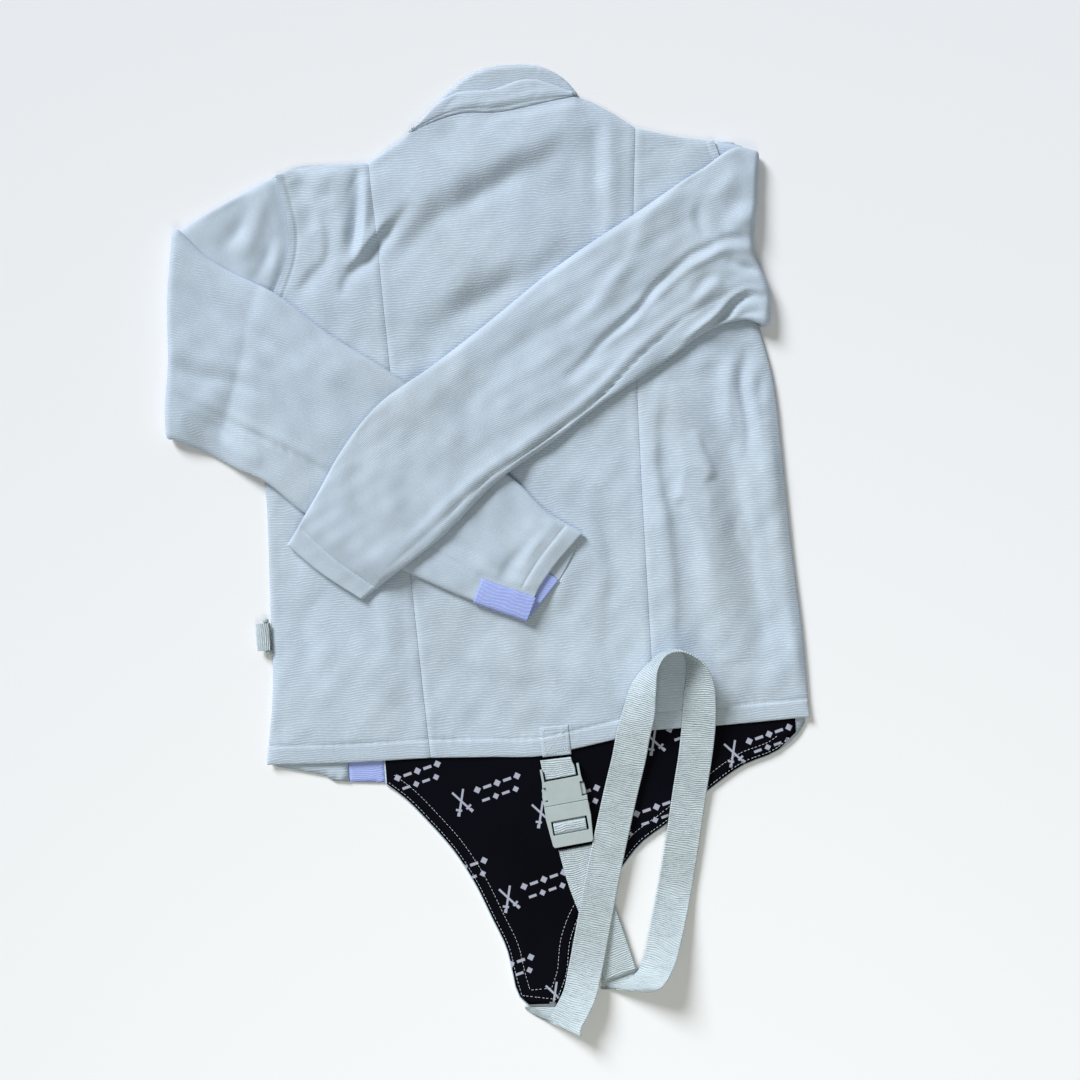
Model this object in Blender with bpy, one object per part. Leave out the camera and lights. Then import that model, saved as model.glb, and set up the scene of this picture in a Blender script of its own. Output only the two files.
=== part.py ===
"""Fencing jacket lying on its front, back up, with both sleeves folded across the back.

Metres, +Z up, floor at z = 0.  +Y runs from the hem to the collar along the centre back and +X
points to the wearer's right, which is the right of someone looking down on the back.  The tables
below are in millimetres, measured from the middle of the whole outline on the floor.
"""
import math

import bmesh
import bpy
import numpy as np

MM = 0.001

# Cloth and webbing thicknesses, and the heights that the layers lie at.
FRONT_CLOTH = 2.2        # front pieces, which lie on the floor
LINING_BASE = 2.5        # underside of the dark lining on the crotch flap
LINING_CLOTH = 0.8
BACK_BASE = 3.9          # underside of the back panels along the hem
BACK_CLOTH = 2.0
BACK_LOFT = 2.0          # how much higher the back lies away from its side edges
LOFT_REACH = 45.0        # distance from the edges over which it rises
SIDE_DROP = 1.3          # how far the side edges of the back turn down to the front
SEAM = 0.3               # gap between two pieces at a seam
COLLAR_BASE = 3.2
COLLAR_CLOTH = 2.6
SLEEVE_WALL = 2.0
SLEEVE_DEPTH = 5.6       # a flattened sleeve, from its lower skin to its upper one
SLEEVE_WIDTH = 150.0     # typical flat width, for the spacing of points across it
SLEEVE_ROUND = 4.5       # width of the rounded edge of a flattened sleeve
ARMHOLE_GAP = 1.2
LAYER_AIR = 1.1          # clearance between two layers that lie on each other
STEP_SLOPE = 14.0        # how far stiff cloth bridges the step beside a layer under it
SLEEVE_SLOPE = 22.0      # the same for the step beside the left sleeve
FRONT_INSET = 1.5        # how far the fronts stay inside the back's side edges
ELASTIC_CLOTH = 0.9
INSERT_CLOTH = 1.5       # the stretch insert of the front
ZIP_CLOTH = 1.8
COLLAR_FRONT_CLOTH = 2.8
TAB_CLOTH = 1.2
WEBBING_WIDTH = 30.5
WEBBING_THICK = 1.4

# Back panels: one row for each level, hem first; (x, y) of both side edges and both long seams.
BODY_ROWS = [
    # side_left      seam_left     seam_right    side_right
    ((-211, -178), (-63, -182), (140, -171), (281, -169)),
    ((-201, -110), (-66, -110), (142, -100), (280, -95)),
    ((-198, -30), (-69, -30), (143, -20), (276, -25)),
    ((-195, 50), (-71, 60), (144, 60), (273, 60)),
    ((-196, 130), (-74, 140), (146, 140), (269, 140)),
    ((-187, 218), (-77, 225), (149, 225), (255, 209)),
    ((-158, 292), (-79, 295), (154, 300), (246, 300)),
    ((-166, 352), (-82, 358), (161, 373), (231, 356)),
]
UNDERARM_ROW = 5         # row of the table where each armhole starts

# Lower and upper ends of the back panels, left to right.
HEM_LEFT = [(-211, -178), (-139, -181), (-63, -182)]
HEM_CENTRE = [(-63, -182), (-9, -185), (40, -187), (67, -183), (140, -171)]
HEM_RIGHT = [(140, -171), (193, -171), (281, -169)]
SHOULDER_LEFT = [(-166, 352), (-155, 357), (-116, 359), (-82, 358)]
NECK_AND_SHOULDERS = [(-82, 358), (-44, 381), (-21, 390), (4, 396), (40, 395), (77, 400), (109, 404),
                      (136, 391), (161, 373)]
SHOULDER_RIGHT = [(161, 373), (200, 362), (231, 356)]

# Collar: its seam on the back, the top edge of its back half, and the front half's edge beyond it.
COLLAR_SEAM = [(-43, 382.5), (-21, 391), (4, 397), (40, 396), (77, 401), (107, 405.5)]
COLLAR_TOP = [(-31, 392), (-17, 406), (-1, 415), (35, 417), (67, 424), (108, 409)]
COLLAR_EDGE = [(-34, 391), (-21, 403), (-11, 413), (2, 424), (18, 433), (52, 438), (83, 433), (101, 421),
               (111, 408)]
FRONT_NECK = [(109, 404), (90, 375), (45, 345), (0, 350), (-34, 376)]
NECK_GAP = 1.2           # from the front's neckline to the collar's front half
COLLAR_SEAM_GAP = 1.0    # from the back's neckline to the collar's back half
COLLAR_PADDING = 1.2     # how much thicker the padded back half is in its middle

# Crotch flap: its left edge down to the tip, and its right edge from the tip up to the side.
FLAP_LEFT = [(-105, -204), (-91, -216), (-70, -240), (-48, -269), (-33, -296), (-18, -332), (-7, -360),
             (-3, -384), (1, -403), (9, -412)]
FLAP_RIGHT = [(37, -413), (48, -388), (55, -354), (71, -324), (97, -300), (123, -272), (145, -258), (185, -230),
              (219, -209), (251, -198), (270, -184), (277, -174)]
LINING_TOP = -160        # the lining ends this high, under the back hem
LINING_TRIM = 0.8        # how far the lining stays inside the flap's edge
LINING_TIP = [(10, -411), (36, -412)]
LINING_CORNER = (268, -182)

# Small front at the wearer's left, the zip beside it and the stretch insert in the hem.
FRONT_LEFT_HEM = [(-209, -177), (-201, -181), (-161, -191), (-152, -197), (-140, -199)]
FRONT_LEFT_TOP = [(-164.5, 350), (-155, 355), (-116, 357), (-83, 356), (-50, 376)]
FRONT_MAIN_TOP = [(229, 354), (200, 360), (161, 371), (136, 389)]
ZIP_BOTTOM = (-139, -150)
ZIP_TOP = (-38, 374)
ZIP_WIDTH = 9.0
ELASTIC_LEFT = -138.0
ELASTIC_RIGHT = -106.0
ELASTIC_BOTTOM = -202.0

# Sleeves.  The upper arm lies on the floor beside the body, the rest is folded back over the body.
# Edges run from the armhole to the fold, and from the fold to the cuff; folds and cuffs run from
# the lower edge to the upper one.
LEFT_ARM = {
    "fold": [(-281, 121), (-280, 148), (-275, 182), (-271, 246), (-262, 309)],
    "upper_arm_low": [(-187, 218), (-233, 171), (-281, 121)],
    "upper_arm_high": [(-166, 352), (-224, 326), (-262, 309)],
    "forearm_low": [(-281, 121), (-246, 107), (-220, 91), (-197, 79), (-164, 49), (-122, 15), (-78, -10),
                    (-17, -42), (24, -60), (33, -64)],
    "forearm_high": [(-262, 309), (-234, 284), (-169, 242), (-127, 205), (-66, 160), (-8, 97), (35, 58),
                     (58, 32), (88, 11)],
    "cuff": [(33, -64), (41, -43), (57, -21), (88, 11)],
    "cuff_under": [(33, -64), (47, -49), (64, -29), (88, 11)],
    "outward": (-1, 0),
}
RIGHT_ARM = {
    "fold": [(269, 186), (270, 217), (259, 250), (265, 299), (271, 344)],
    "upper_arm_low": [(255, 209), (262, 197), (269, 186)],
    "upper_arm_high": [(231, 356), (254, 351), (271, 344)],
    "forearm_low": [(269, 186), (247, 192), (231, 190), (168, 157), (112, 125), (69, 96), (17, 64), (-41, 14),
                    (-78, -11), (-114, -35)],
    "forearm_high": [(271, 344), (258, 347), (216, 329), (160, 297), (84, 253), (8, 200), (-48, 163),
                     (-86, 139), (-125, 96), (-147, 62), (-165, 36), (-178, 19)],
    "cuff": [(-114, -35), (-150, -8), (-178, 19)],
    "cuff_under": [(-114, -35), (-150, -8), (-178, 19)],
    "outward": (1, 0),
}
FOLD_INSET = 6.0         # from the visible fold edge to the line that the middle skin folds on
GUSSET_START = 0.86      # share of the left forearm's length where the cuff's stretch gusset starts
GUSSET_REACH = 22.0      # its width on the upper skin
GUSSET_ACROSS = (0.42, 0.9)
# Share of that width and height in half sleeve depths of each row, round the sleeve's lower edge,
# and the way that its cloth is thick there.
GUSSET_SECTION = ((1.0, 1), (0.3, 1), (-0.02, 0.75), (-0.075, 0), (-0.02, -0.75), (0.3, -1))
GUSSET_PUSH = ((0, 0, 1), (0, 0, 1), (-0.3, -0.6, 0.7), (-0.4, -0.9, 0), (-0.3, -0.6, -0.7), (0, 0, -1))
GUSSET_THIN = 0.25       # thickness of its last row, between the sleeve and the back

# Long strap, from the flap's tip round its standing loop to the buckle: x and y of the middle of
# the webbing, the height of its lowest edge, and the azimuth and tilt of its width in degrees.
STRAP_ROUTE = [
    # x      y     low  azimuth tilt
    (23, -414.5, 0.4, -4, 0),
    (24, -421, 0.3, -10, 0),
    (28, -427.6, 1.1, -24, 0),
    (33, -428.6, 2.9, -28, 0),
    (39, -424, 4.4, -30, 0),
    (50, -408, 4.8, -28, 0),
    (63, -381, 6.2, -21, 0),
    (73, -343, 7.8, -17, 0),
    (82, -304, 8.6, -15, 0),
    (95, -266, 8.6, -16, 0),
    (104, -225, 7.4, -15, 0),
    (116, -192, 8.4, -16, 2),
    (121, -172, 8.8, -17, 8),
    (127, -153, 8.8, -17, 22),
    (133, -130, 8.8, -20, 48),
    (142, -112, 8.8, -30, 76),
    (154, -101, 8.8, -40, 88),
    (168, -100, 8.8, 10, 88),
    (178, -109, 8.8, 8, 70),
    (182.5, -125, 8.8, 0, 46),
    (182, -145, 8.8, -6, 22),
    (180, -168, 8.8, -8, 6),
    (176, -193, 7.4, -9, 0),
    (168, -229, 4.8, -11, 0),
    (158, -275, 4.2, -13, 0),
    (147, -321, 3.2, -16, 0),
    (134, -366, 3.8, -24, 0),
    (122, -388, 4.4, -26, 0),
    (111, -401, 3.6, -14, 0),
    (105, -404, 2.1, -2, 0),
    (99, -398, 0.6, 8, 0),
    (89, -372, 0.7, 16, 0),
    (77, -332, 3.8, 16, 0),
    (67, -298, 4.0, 13, 0),
    (61.5, -271.5, 4.9, 7, 0),
]
TAIL_ROUTE = [
    (62.5, -272, 6.8, 7, 0),
    (70, -300, 6.0, 14, 0),
    (80.5, -332, 5.7, 18, 0),
    (90, -360, 3.4, 20, 0),
    (96, -377, 2.7, 20, 0),
]

# Doubled webbing from the hem tab to the buckle.
SHORT_ROUTE = [
    (49.5, -190.4, 5.6, 3, 0),
    (50.2, -195, 6.0, 4, 0),
    (52.4, -202, 6.4, 6, 0),
    (53, -207.2, 6.5, 6.5, 0),
]
SHORT_WIDTH = 28.0
SHORT_THICK = 2.6

# Side-release buckle: its own frame has the mouth between the halves at y = 0, the female half
# above it and the male half below; half widths in mm.
BUCKLE_CENTRE = (56, -230.5)
BUCKLE_TURN = 6.5       # degrees, its lower end to the right
BUCKLE_BASE = 4.1
BUCKLE_THICK = 7.6
FEMALE_LENGTH = 22.0
FEMALE_EARS = 11.0
MALE_LENGTH = 38.0
TAB_SIZE = (26.0, 27.0)
TAB_CENTRE = (50.5, -174.5)
TAB_TURN = 2.0
SIDE_BAR_ENDS = ((-203, -46), (-202, -79))
SIDE_BAR_RADIUS = 2.8
SIDE_BAR_HEIGHT = 5.4
# Share of the bar's length and of its radius: a thin bar with a ball at each end.
SIDE_BAR_SHAPE = ((0, 0.45), (0.04, 1), (0.1, 1), (0.13, 0.6), (0.87, 0.6), (0.9, 1), (0.96, 1), (1, 0.45))
# Side loop of webbing round the bar: x and z of its outer and inner faces, and its stations in y.
SIDE_LOOP_OUTER = [(-199.6, 0.4), (-205, 0.4), (-210.5, 1.6), (-213, 5), (-210.5, 8.6), (-205, 10),
                   (-199.6, 9.6)]
SIDE_LOOP_INNER = [(-199.6, 2.4), (-205, 2.4), (-209, 3.2), (-210.6, 5), (-209, 7.2), (-205, 8.2),
                   (-199.6, 7.8)]
SIDE_LOOP_Y = (-50.5, -58, -66, -75)

COLOURS = {
    "canvas": ((0.72, 0.77, 0.81), 0.85),
    "elastic": ((0.42, 0.45, 0.80), 0.75),
    "lining": ((0.012, 0.013, 0.022), 0.55),
    "webbing": ((0.70, 0.75, 0.76), 0.6),
    "plastic": ((0.62, 0.68, 0.69), 0.35),
    "zip": ((0.78, 0.80, 0.82), 0.5),
}


def clear_scene():
    """Remove every object that the scene starts with."""
    for item in list(bpy.data.objects):
        bpy.data.objects.remove(item, do_unlink=True)


def material(name):
    """One Principled material per node, coloured from the table."""
    colour, roughness = COLOURS[name]
    finish = bpy.data.materials.new(name)
    finish.use_nodes = True
    shader = finish.node_tree.nodes["Principled BSDF"]
    shader.inputs["Base Color"].default_value = (*colour, 1.0)
    shader.inputs["Roughness"].default_value = roughness
    return finish


def add_object(name, points, faces, finish):
    """A mesh object from points in mm, its faces turned outwards."""
    mesh = bpy.data.meshes.new(name)
    mesh.from_pydata((np.asarray(points, dtype=float) * MM).tolist(), [], faces)
    shape = bmesh.new()
    shape.from_mesh(mesh)
    bmesh.ops.recalc_face_normals(shape, faces=shape.faces)
    shape.to_mesh(mesh)
    shape.free()
    mesh.materials.append(material(finish))
    item = bpy.data.objects.new(name, mesh)
    bpy.context.collection.objects.link(item)
    return item


def smooth_curve(points, shares):
    """Points at the given shares of a smooth curve: a cubic between neighbours, with each slope
    taken from the points on either side."""
    points = np.asarray(points, dtype=float)
    steps = np.linalg.norm(np.diff(points, axis=0), axis=1)
    stops = np.concatenate([[0.0], np.cumsum(steps)])
    stops = stops / stops[-1]
    slopes = np.gradient(points, stops, axis=0)
    shares = np.asarray(shares, dtype=float)
    cell = np.clip(np.searchsorted(stops, shares, side="right") - 1, 0, len(stops) - 2)
    span = (stops[cell + 1] - stops[cell])[:, None]
    t = ((shares - stops[cell]) / span[:, 0])[:, None]
    return (points[cell] * (1 + 2 * t) * (1 - t) ** 2 + slopes[cell] * span * t * (1 - t) ** 2
            + points[cell + 1] * t * t * (3 - 2 * t) + slopes[cell + 1] * span * t * t * (t - 1))


def coons(low, high, start, end, u, v):
    """Grid over four edge curves: u runs along low and high, v along start and end."""
    low, high = smooth_curve(low, u)[:, None], smooth_curve(high, u)[:, None]
    start, end = smooth_curve(start, v)[None], smooth_curve(end, v)[None]
    u, v = u[:, None, None], v[None, :, None]
    corners = ((1 - u) * (1 - v) * low[:1] + u * (1 - v) * low[-1:]
               + (1 - u) * v * high[:1] + u * v * high[-1:])
    return (1 - v) * low + v * high + (1 - u) * start + u * end - corners


def smoothstep(value):
    """0 below 0, 1 above 1, and a soft S between."""
    value = np.clip(value, 0.0, 1.0)
    return value * value * (3 - 2 * value)


def depth_inside(outline, spots):
    """Distance from each spot to a closed outline, positive inside it."""
    outline = np.asarray(outline, dtype=float)
    spots = np.asarray(spots, dtype=float)
    shape = spots.shape[:-1]
    spots = spots.reshape(-1, 1, 2)
    a, b = outline[None], np.roll(outline, -1, axis=0)[None]
    along = b - a
    share = np.clip(((spots - a) * along).sum(-1) / (along ** 2).sum(-1), 0, 1)
    gap = np.linalg.norm(spots - a - share[..., None] * along, axis=-1).min(1)
    rises = (a[..., 1] > spots[..., 1]) != (b[..., 1] > spots[..., 1])
    height = np.where(along[..., 1] == 0, 1e-9, along[..., 1])
    cross_x = a[..., 0] + (spots[..., 1] - a[..., 1]) / height * along[..., 0]
    inside = (rises & (spots[..., 0] < cross_x)).sum(1) % 2 == 1
    return np.where(inside, gap, -gap).reshape(shape)


def plateau(outline, height, spots, slope=STEP_SLOPE):
    """Height of a layer that lies under what is above it: full over the layer, and falling to
    the floor within a short distance beyond its edge, as stiff cloth bridges a step."""
    return height * smoothstep(1 + depth_inside(outline, spots) / slope)


def slab(name, lower, upper, finish):
    """Closed solid between two grids of the same size."""
    rows, columns = lower.shape[:2]
    count = rows * columns
    index = np.arange(count).reshape(rows, columns)
    faces = []
    for i in range(rows - 1):
        for j in range(columns - 1):
            a, b, c, d = index[i, j], index[i + 1, j], index[i + 1, j + 1], index[i, j + 1]
            faces.append((int(a), int(b), int(c), int(d)))
            faces.append((int(d + count), int(c + count), int(b + count), int(a + count)))
    rim = list(index[0, :]) + list(index[1:, -1]) + list(index[-1, -2::-1]) + list(index[-2:0:-1, 0])
    for a, b in zip(rim, rim[1:] + rim[:1]):
        faces.append((int(a), int(b), int(b + count), int(a + count)))
    points = np.concatenate([lower.reshape(-1, 3), upper.reshape(-1, 3)])
    return add_object(name, points, faces, finish)


def plate(name, outline, base, thickness, finish):
    """Flat piece of cloth cut to an outline."""
    outline = np.asarray(outline, dtype=float)
    count = len(outline)
    lower = np.column_stack([outline, np.full(count, base)])
    upper = np.column_stack([outline, np.full(count, base + thickness)])
    sides = [(i, (i + 1) % count, (i + 1) % count + count, i + count) for i in range(count)]
    faces = [tuple(range(count)), tuple(range(2 * count - 1, count - 1, -1))] + sides
    return add_object(name, np.concatenate([lower, upper]), faces, finish)


def ribbon(name, route, samples, finish, width=WEBBING_WIDTH, thick=WEBBING_THICK):
    """Webbing along a route: its width points where the table says, and is stretched where the
    route runs aslant to it, as at an oblique fold, so that the webbing keeps its own width."""
    route = np.asarray(route, dtype=float)
    turn, tilt = np.radians(route[:, 3]), np.radians(route[:, 4])
    across = np.column_stack([np.cos(turn) * np.cos(tilt), np.sin(turn) * np.cos(tilt), np.sin(tilt)])
    steps = np.linalg.norm(np.diff(route[:, :3], axis=0), axis=1)
    stops = np.concatenate([[0.0], np.cumsum(steps)]) / steps.sum()
    shares = np.linspace(0, 1, samples)
    middle = smooth_curve(route[:, :3], shares)
    lean = np.interp(shares, stops, tilt)
    middle[:, 2] += np.sin(lean) * width / 2 + np.cos(lean) * thick / 2
    across = np.column_stack([np.interp(shares, stops, across[:, k]) for k in range(3)])
    ahead = np.gradient(middle, axis=0)
    ahead /= np.linalg.norm(ahead, axis=1)[:, None]
    across /= np.linalg.norm(across, axis=1)[:, None]
    normal = np.cross(ahead, across)
    square = np.linalg.norm(normal, axis=1)[:, None]
    normal /= square
    across /= np.maximum(square, 0.75)
    corners = [(-1, -1), (1, -1), (1, 1), (-1, 1)]
    rings = np.stack([middle + across * a * width / 2 + normal * n * thick / 2 for a, n in corners], axis=1)
    return loft(name, rings, finish)


def loft(name, rings, finish):
    """Closed solid through rings of equal count, capped at both ends."""
    count, sides = rings.shape[:2]
    faces = []
    for i in range(count - 1):
        for j in range(sides):
            k = (j + 1) % sides
            faces.append((i * sides + j, i * sides + k, (i + 1) * sides + k, (i + 1) * sides + j))
    faces.append(tuple(range(sides)))
    faces.append(tuple(range(count * sides - 1, (count - 1) * sides - 1, -1)))
    return add_object(name, rings.reshape(-1, 3), faces, finish)


def body_column(column):
    """One edge or seam of the body table, hem first."""
    return [row[column] for row in BODY_ROWS]


def armhole_curve(column, gap):
    """The part of a body side above the underarm, moved away from the panel by a gap."""
    whole = smooth_curve(body_column(column), np.linspace(0, 1, 80))
    underarm = np.array(BODY_ROWS[UNDERARM_ROW][column])
    first = int(np.argmin(np.linalg.norm(whole - underarm, axis=1)))
    picks = np.linspace(first, len(whole) - 1, 12).astype(int)
    return [(x + gap, y) for x, y in map(tuple, whole[picks])]


def shifted(points, dx, dy=0.0):
    """The same curve moved sideways."""
    return [(x + dx, y + dy) for x, y in points]


def body_outline():
    """The back's whole outline, anticlockwise from its left hem corner."""
    hem = HEM_LEFT[:-1] + HEM_CENTRE[:-1] + HEM_RIGHT[:-1]
    top = SHOULDER_LEFT[:-1] + NECK_AND_SHOULDERS[:-1] + SHOULDER_RIGHT
    side_left = smooth_curve(body_column(0), np.linspace(0, 1, 24))[1:-1]
    side_right = smooth_curve(body_column(3), np.linspace(0, 1, 24))[:-1]
    return np.array(hem + list(map(tuple, side_right)) + top[::-1] + list(map(tuple, side_left[::-1])))


BODY_OUTLINE = body_outline()
BODY_TOP = BACK_BASE + BACK_LOFT + BACK_CLOTH + LAYER_AIR
ARM_TOP = SLEEVE_DEPTH + LAYER_AIR


def back_top(spots):
    """Height of the back panels' upper face."""
    return BACK_BASE + BACK_LOFT * smoothstep(depth_inside(BODY_OUTLINE, spots) / LOFT_REACH) + BACK_CLOTH


def build_back():
    """Three back panels: flat cloth that lies a little higher in the middle of the body and
    turns down to the front along both sides."""
    rows = np.linspace(0, 1, 17)
    panels = [
        ("back_left", 0, 1, HEM_LEFT, SHOULDER_LEFT, 7),
        ("back_centre", 1, 2, HEM_CENTRE, NECK_AND_SHOULDERS, 12),
        ("back_right", 2, 3, HEM_RIGHT, SHOULDER_RIGHT, 8),
    ]
    for name, first, second, hem, top, columns in panels:
        across = np.linspace(0, 1, columns)
        if first == 0:
            across = np.insert(across, 1, 0.05)
        if second == 3:
            across = np.insert(across, -1, 0.95)
        start = shifted(body_column(first), SEAM / 2)
        end = shifted(body_column(second), -SEAM / 2)
        hem, top = list(hem), list(top)
        hem[0], hem[-1], top[0], top[-1] = start[0], end[0], start[-1], end[-1]
        plan = coons(start, end, hem, top, rows, across)
        lofted = BACK_LOFT * smoothstep(depth_inside(BODY_OUTLINE, plan) / LOFT_REACH)
        if first == 0:
            lofted[:, 0] = -SIDE_DROP
        if second == 3:
            lofted[:, -1] = -SIDE_DROP
        base = BACK_BASE + lofted
        lower = np.dstack([plan, base])
        upper = np.dstack([plan, base + BACK_CLOTH])
        slab(name, lower, upper, "canvas")


def zip_side(side):
    """Left or right edge of the zip's tape, bottom first."""
    (x0, y0), (x1, y1) = ZIP_BOTTOM, ZIP_TOP
    length = math.hypot(x1 - x0, y1 - y0)
    out = side * (ZIP_WIDTH / 2)
    return [(x0 + out * (y1 - y0) / length, y0 - out * (x1 - x0) / length),
            (x1 + out * (y1 - y0) / length, y1 - out * (x1 - x0) / length)]


def build_front():
    """The front's pieces, flat on the floor, a little inside the back's outline."""
    shares = np.linspace(0, 1, 20)
    side_left = shifted(map(tuple, smooth_curve(body_column(0), shares)), FRONT_INSET)
    side_right = shifted(map(tuple, smooth_curve(body_column(3), shares)), -FRONT_INSET)
    zip_left = shifted(zip_side(-1), -SEAM)
    zip_right = shifted(zip_side(1), SEAM)
    split_x = ELASTIC_LEFT - SEAM
    outline = FRONT_LEFT_HEM[:-1] + [(split_x, FRONT_LEFT_HEM[-1][1]), (split_x, zip_left[0][1] - 1)]
    outline += zip_left + FRONT_LEFT_TOP[::-1] + side_left[1:-1][::-1]
    plate("front_left", outline, 0.0, FRONT_CLOTH, "canvas")
    plate("front_zip", zip_side(-1) + zip_side(1)[::-1], 0.0, ZIP_CLOTH, "zip")
    top = ZIP_BOTTOM[1] - 2.0
    plate("front_elastic", [(ELASTIC_LEFT, FRONT_LEFT_HEM[-1][1]), (ELASTIC_RIGHT, ELASTIC_BOTTOM),
                            (ELASTIC_RIGHT, top), (ELASTIC_LEFT, top)], 0.0, INSERT_CLOTH, "elastic")
    flap_right = list(map(tuple, smooth_curve(FLAP_RIGHT, np.linspace(0, 1, 26))))
    flap_left = list(map(tuple, smooth_curve(FLAP_LEFT, np.linspace(0, 1, 20))))
    edge = ELASTIC_RIGHT + SEAM
    neck = list(map(tuple, smooth_curve(FRONT_NECK, np.linspace(0.06, 1, 10))))
    outline = flap_left[1:] + flap_right + side_right[1:-1] + FRONT_MAIN_TOP + neck[:-1]
    outline += [(zip_right[1][0], zip_right[1][1] - 1), zip_right[0], (zip_right[0][0], top + SEAM)]
    outline += [(edge, top + SEAM), (edge, flap_left[0][1])]
    plate("front_main", outline, 0.0, FRONT_CLOTH, "canvas")
    lining = shifted(flap_left[:-1], LINING_TRIM, LINING_TRIM) + LINING_TIP
    lining += shifted(flap_right[1:-2], -LINING_TRIM, LINING_TRIM)
    lining += [LINING_CORNER, (LINING_CORNER[0], LINING_TOP), (ELASTIC_RIGHT + FRONT_INSET, LINING_TOP)]
    plate("flap_lining", lining, LINING_BASE, LINING_CLOTH, "lining")


def build_collar():
    """Collar laid flat: the front half on the floor, the back half on it."""
    edge = list(map(tuple, smooth_curve(COLLAR_EDGE, np.linspace(0, 1, 22))))
    neck = smooth_curve(FRONT_NECK, np.linspace(0, 1, 12)) + (0.0, NECK_GAP)
    plate("collar_front", edge[::-1] + list(map(tuple, neck[::-1]))[:-1], 0.0, COLLAR_FRONT_CLOTH, "canvas")
    u, v = np.linspace(0, 1, 13), np.linspace(0, 1, 4)
    start, end = [COLLAR_SEAM[0], COLLAR_TOP[0]], [COLLAR_SEAM[-1], COLLAR_TOP[-1]]
    plan = coons(COLLAR_SEAM, COLLAR_TOP, start, end, u, v)
    plan[:, 0, 1] += COLLAR_SEAM_GAP
    lower = np.dstack([plan, np.full(plan.shape[:2], COLLAR_BASE)])
    rise = COLLAR_PADDING * np.sin(np.pi * v)[None] * np.ones((len(u), 1))
    upper = np.dstack([plan, COLLAR_BASE + COLLAR_CLOTH + rise])
    slab("collar_back", lower, upper, "canvas")


def sleeve_plans(arm, armhole, stations, across):
    """Plan grids of the upper arm and the forearm, and the lower skin's shift at the cuff."""
    fold = shifted(arm["fold"], -arm["outward"][0] * FOLD_INSET)
    upper_low, upper_high = list(arm["upper_arm_low"]), list(arm["upper_arm_high"])
    upper_low[0], upper_high[0] = tuple(armhole[0]), tuple(armhole[-1])
    upper_low[-1], upper_high[-1] = fold[0], fold[-1]
    upper = coons(upper_low, upper_high, armhole, fold, np.linspace(0, 1, stations[0]), across)
    low, high = list(arm["forearm_low"]), list(arm["forearm_high"])
    low[0], high[0] = fold[0], fold[-1]
    along = np.linspace(0, 1, stations[1])
    fore = coons(low, high, fold, arm["cuff"], along, across)
    slip = smooth_curve(arm["cuff_under"], across) - smooth_curve(arm["cuff"], across)
    slip = slip[None] * smoothstep((along - 0.85) / 0.15)[:, None, None]
    return upper, fore, slip


def skins(arm, armhole, ground, stations, across):
    """Middle surface of a folded sleeve and its thickness direction, station by station: the
    upper arm on the floor, a half turn at the fold, and the forearm on what lies under it."""
    upper, fore, slip = sleeve_plans(arm, armhole, stations, across)
    mid = SLEEVE_DEPTH / 2
    z_upper = np.full(upper.shape[:2], mid)
    z_fore = ground(fore) + mid
    middles = [np.dstack([upper, z_upper])]
    up = np.array([0.0, 0.0, 1.0])
    normals = [np.broadcast_to(up, upper.shape[:2] + (3,))]
    edge = upper[-1]
    tangent = np.gradient(edge, axis=0)
    out = np.column_stack([-tangent[:, 1], tangent[:, 0]])
    out *= np.sign(out @ np.array(arm["outward"]))[:, None]
    out /= np.linalg.norm(out, axis=1)[:, None]
    radius = (z_fore[0] - mid) / 2
    for turn in np.radians([36, 72, 108, 144]):
        reach = (radius * math.sin(turn))[:, None]
        spot = np.column_stack([edge + out * reach, mid + radius * (1 - math.cos(turn))])
        lean = np.column_stack([-out * math.sin(turn), np.full(len(edge), math.cos(turn))])
        middles.append(spot[None])
        normals.append(lean[None])
    middles.append(np.dstack([fore, z_fore]))
    normals.append(np.broadcast_to(-up, fore.shape[:2] + (3,)))
    slips = np.zeros((sum(len(m) for m in middles), len(across), 3))
    slips[-len(fore):, :, :2] = slip
    return np.concatenate(middles), np.concatenate(normals), slips


def ring_shape(width):
    """Places across a flattened tube and its half depth there, with rounded edges."""
    edge = np.array([0.0, 1.4, SLEEVE_ROUND]) / width
    across = np.concatenate([edge, np.linspace(0.2, 0.8, 4), 1 - edge[::-1]])
    near = np.minimum(across, 1 - across) * width
    depth = np.sqrt(np.clip(1 - (1 - np.clip(near / SLEEVE_ROUND, 0, 1)) ** 2, 0, 1))
    return across, depth


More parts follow.
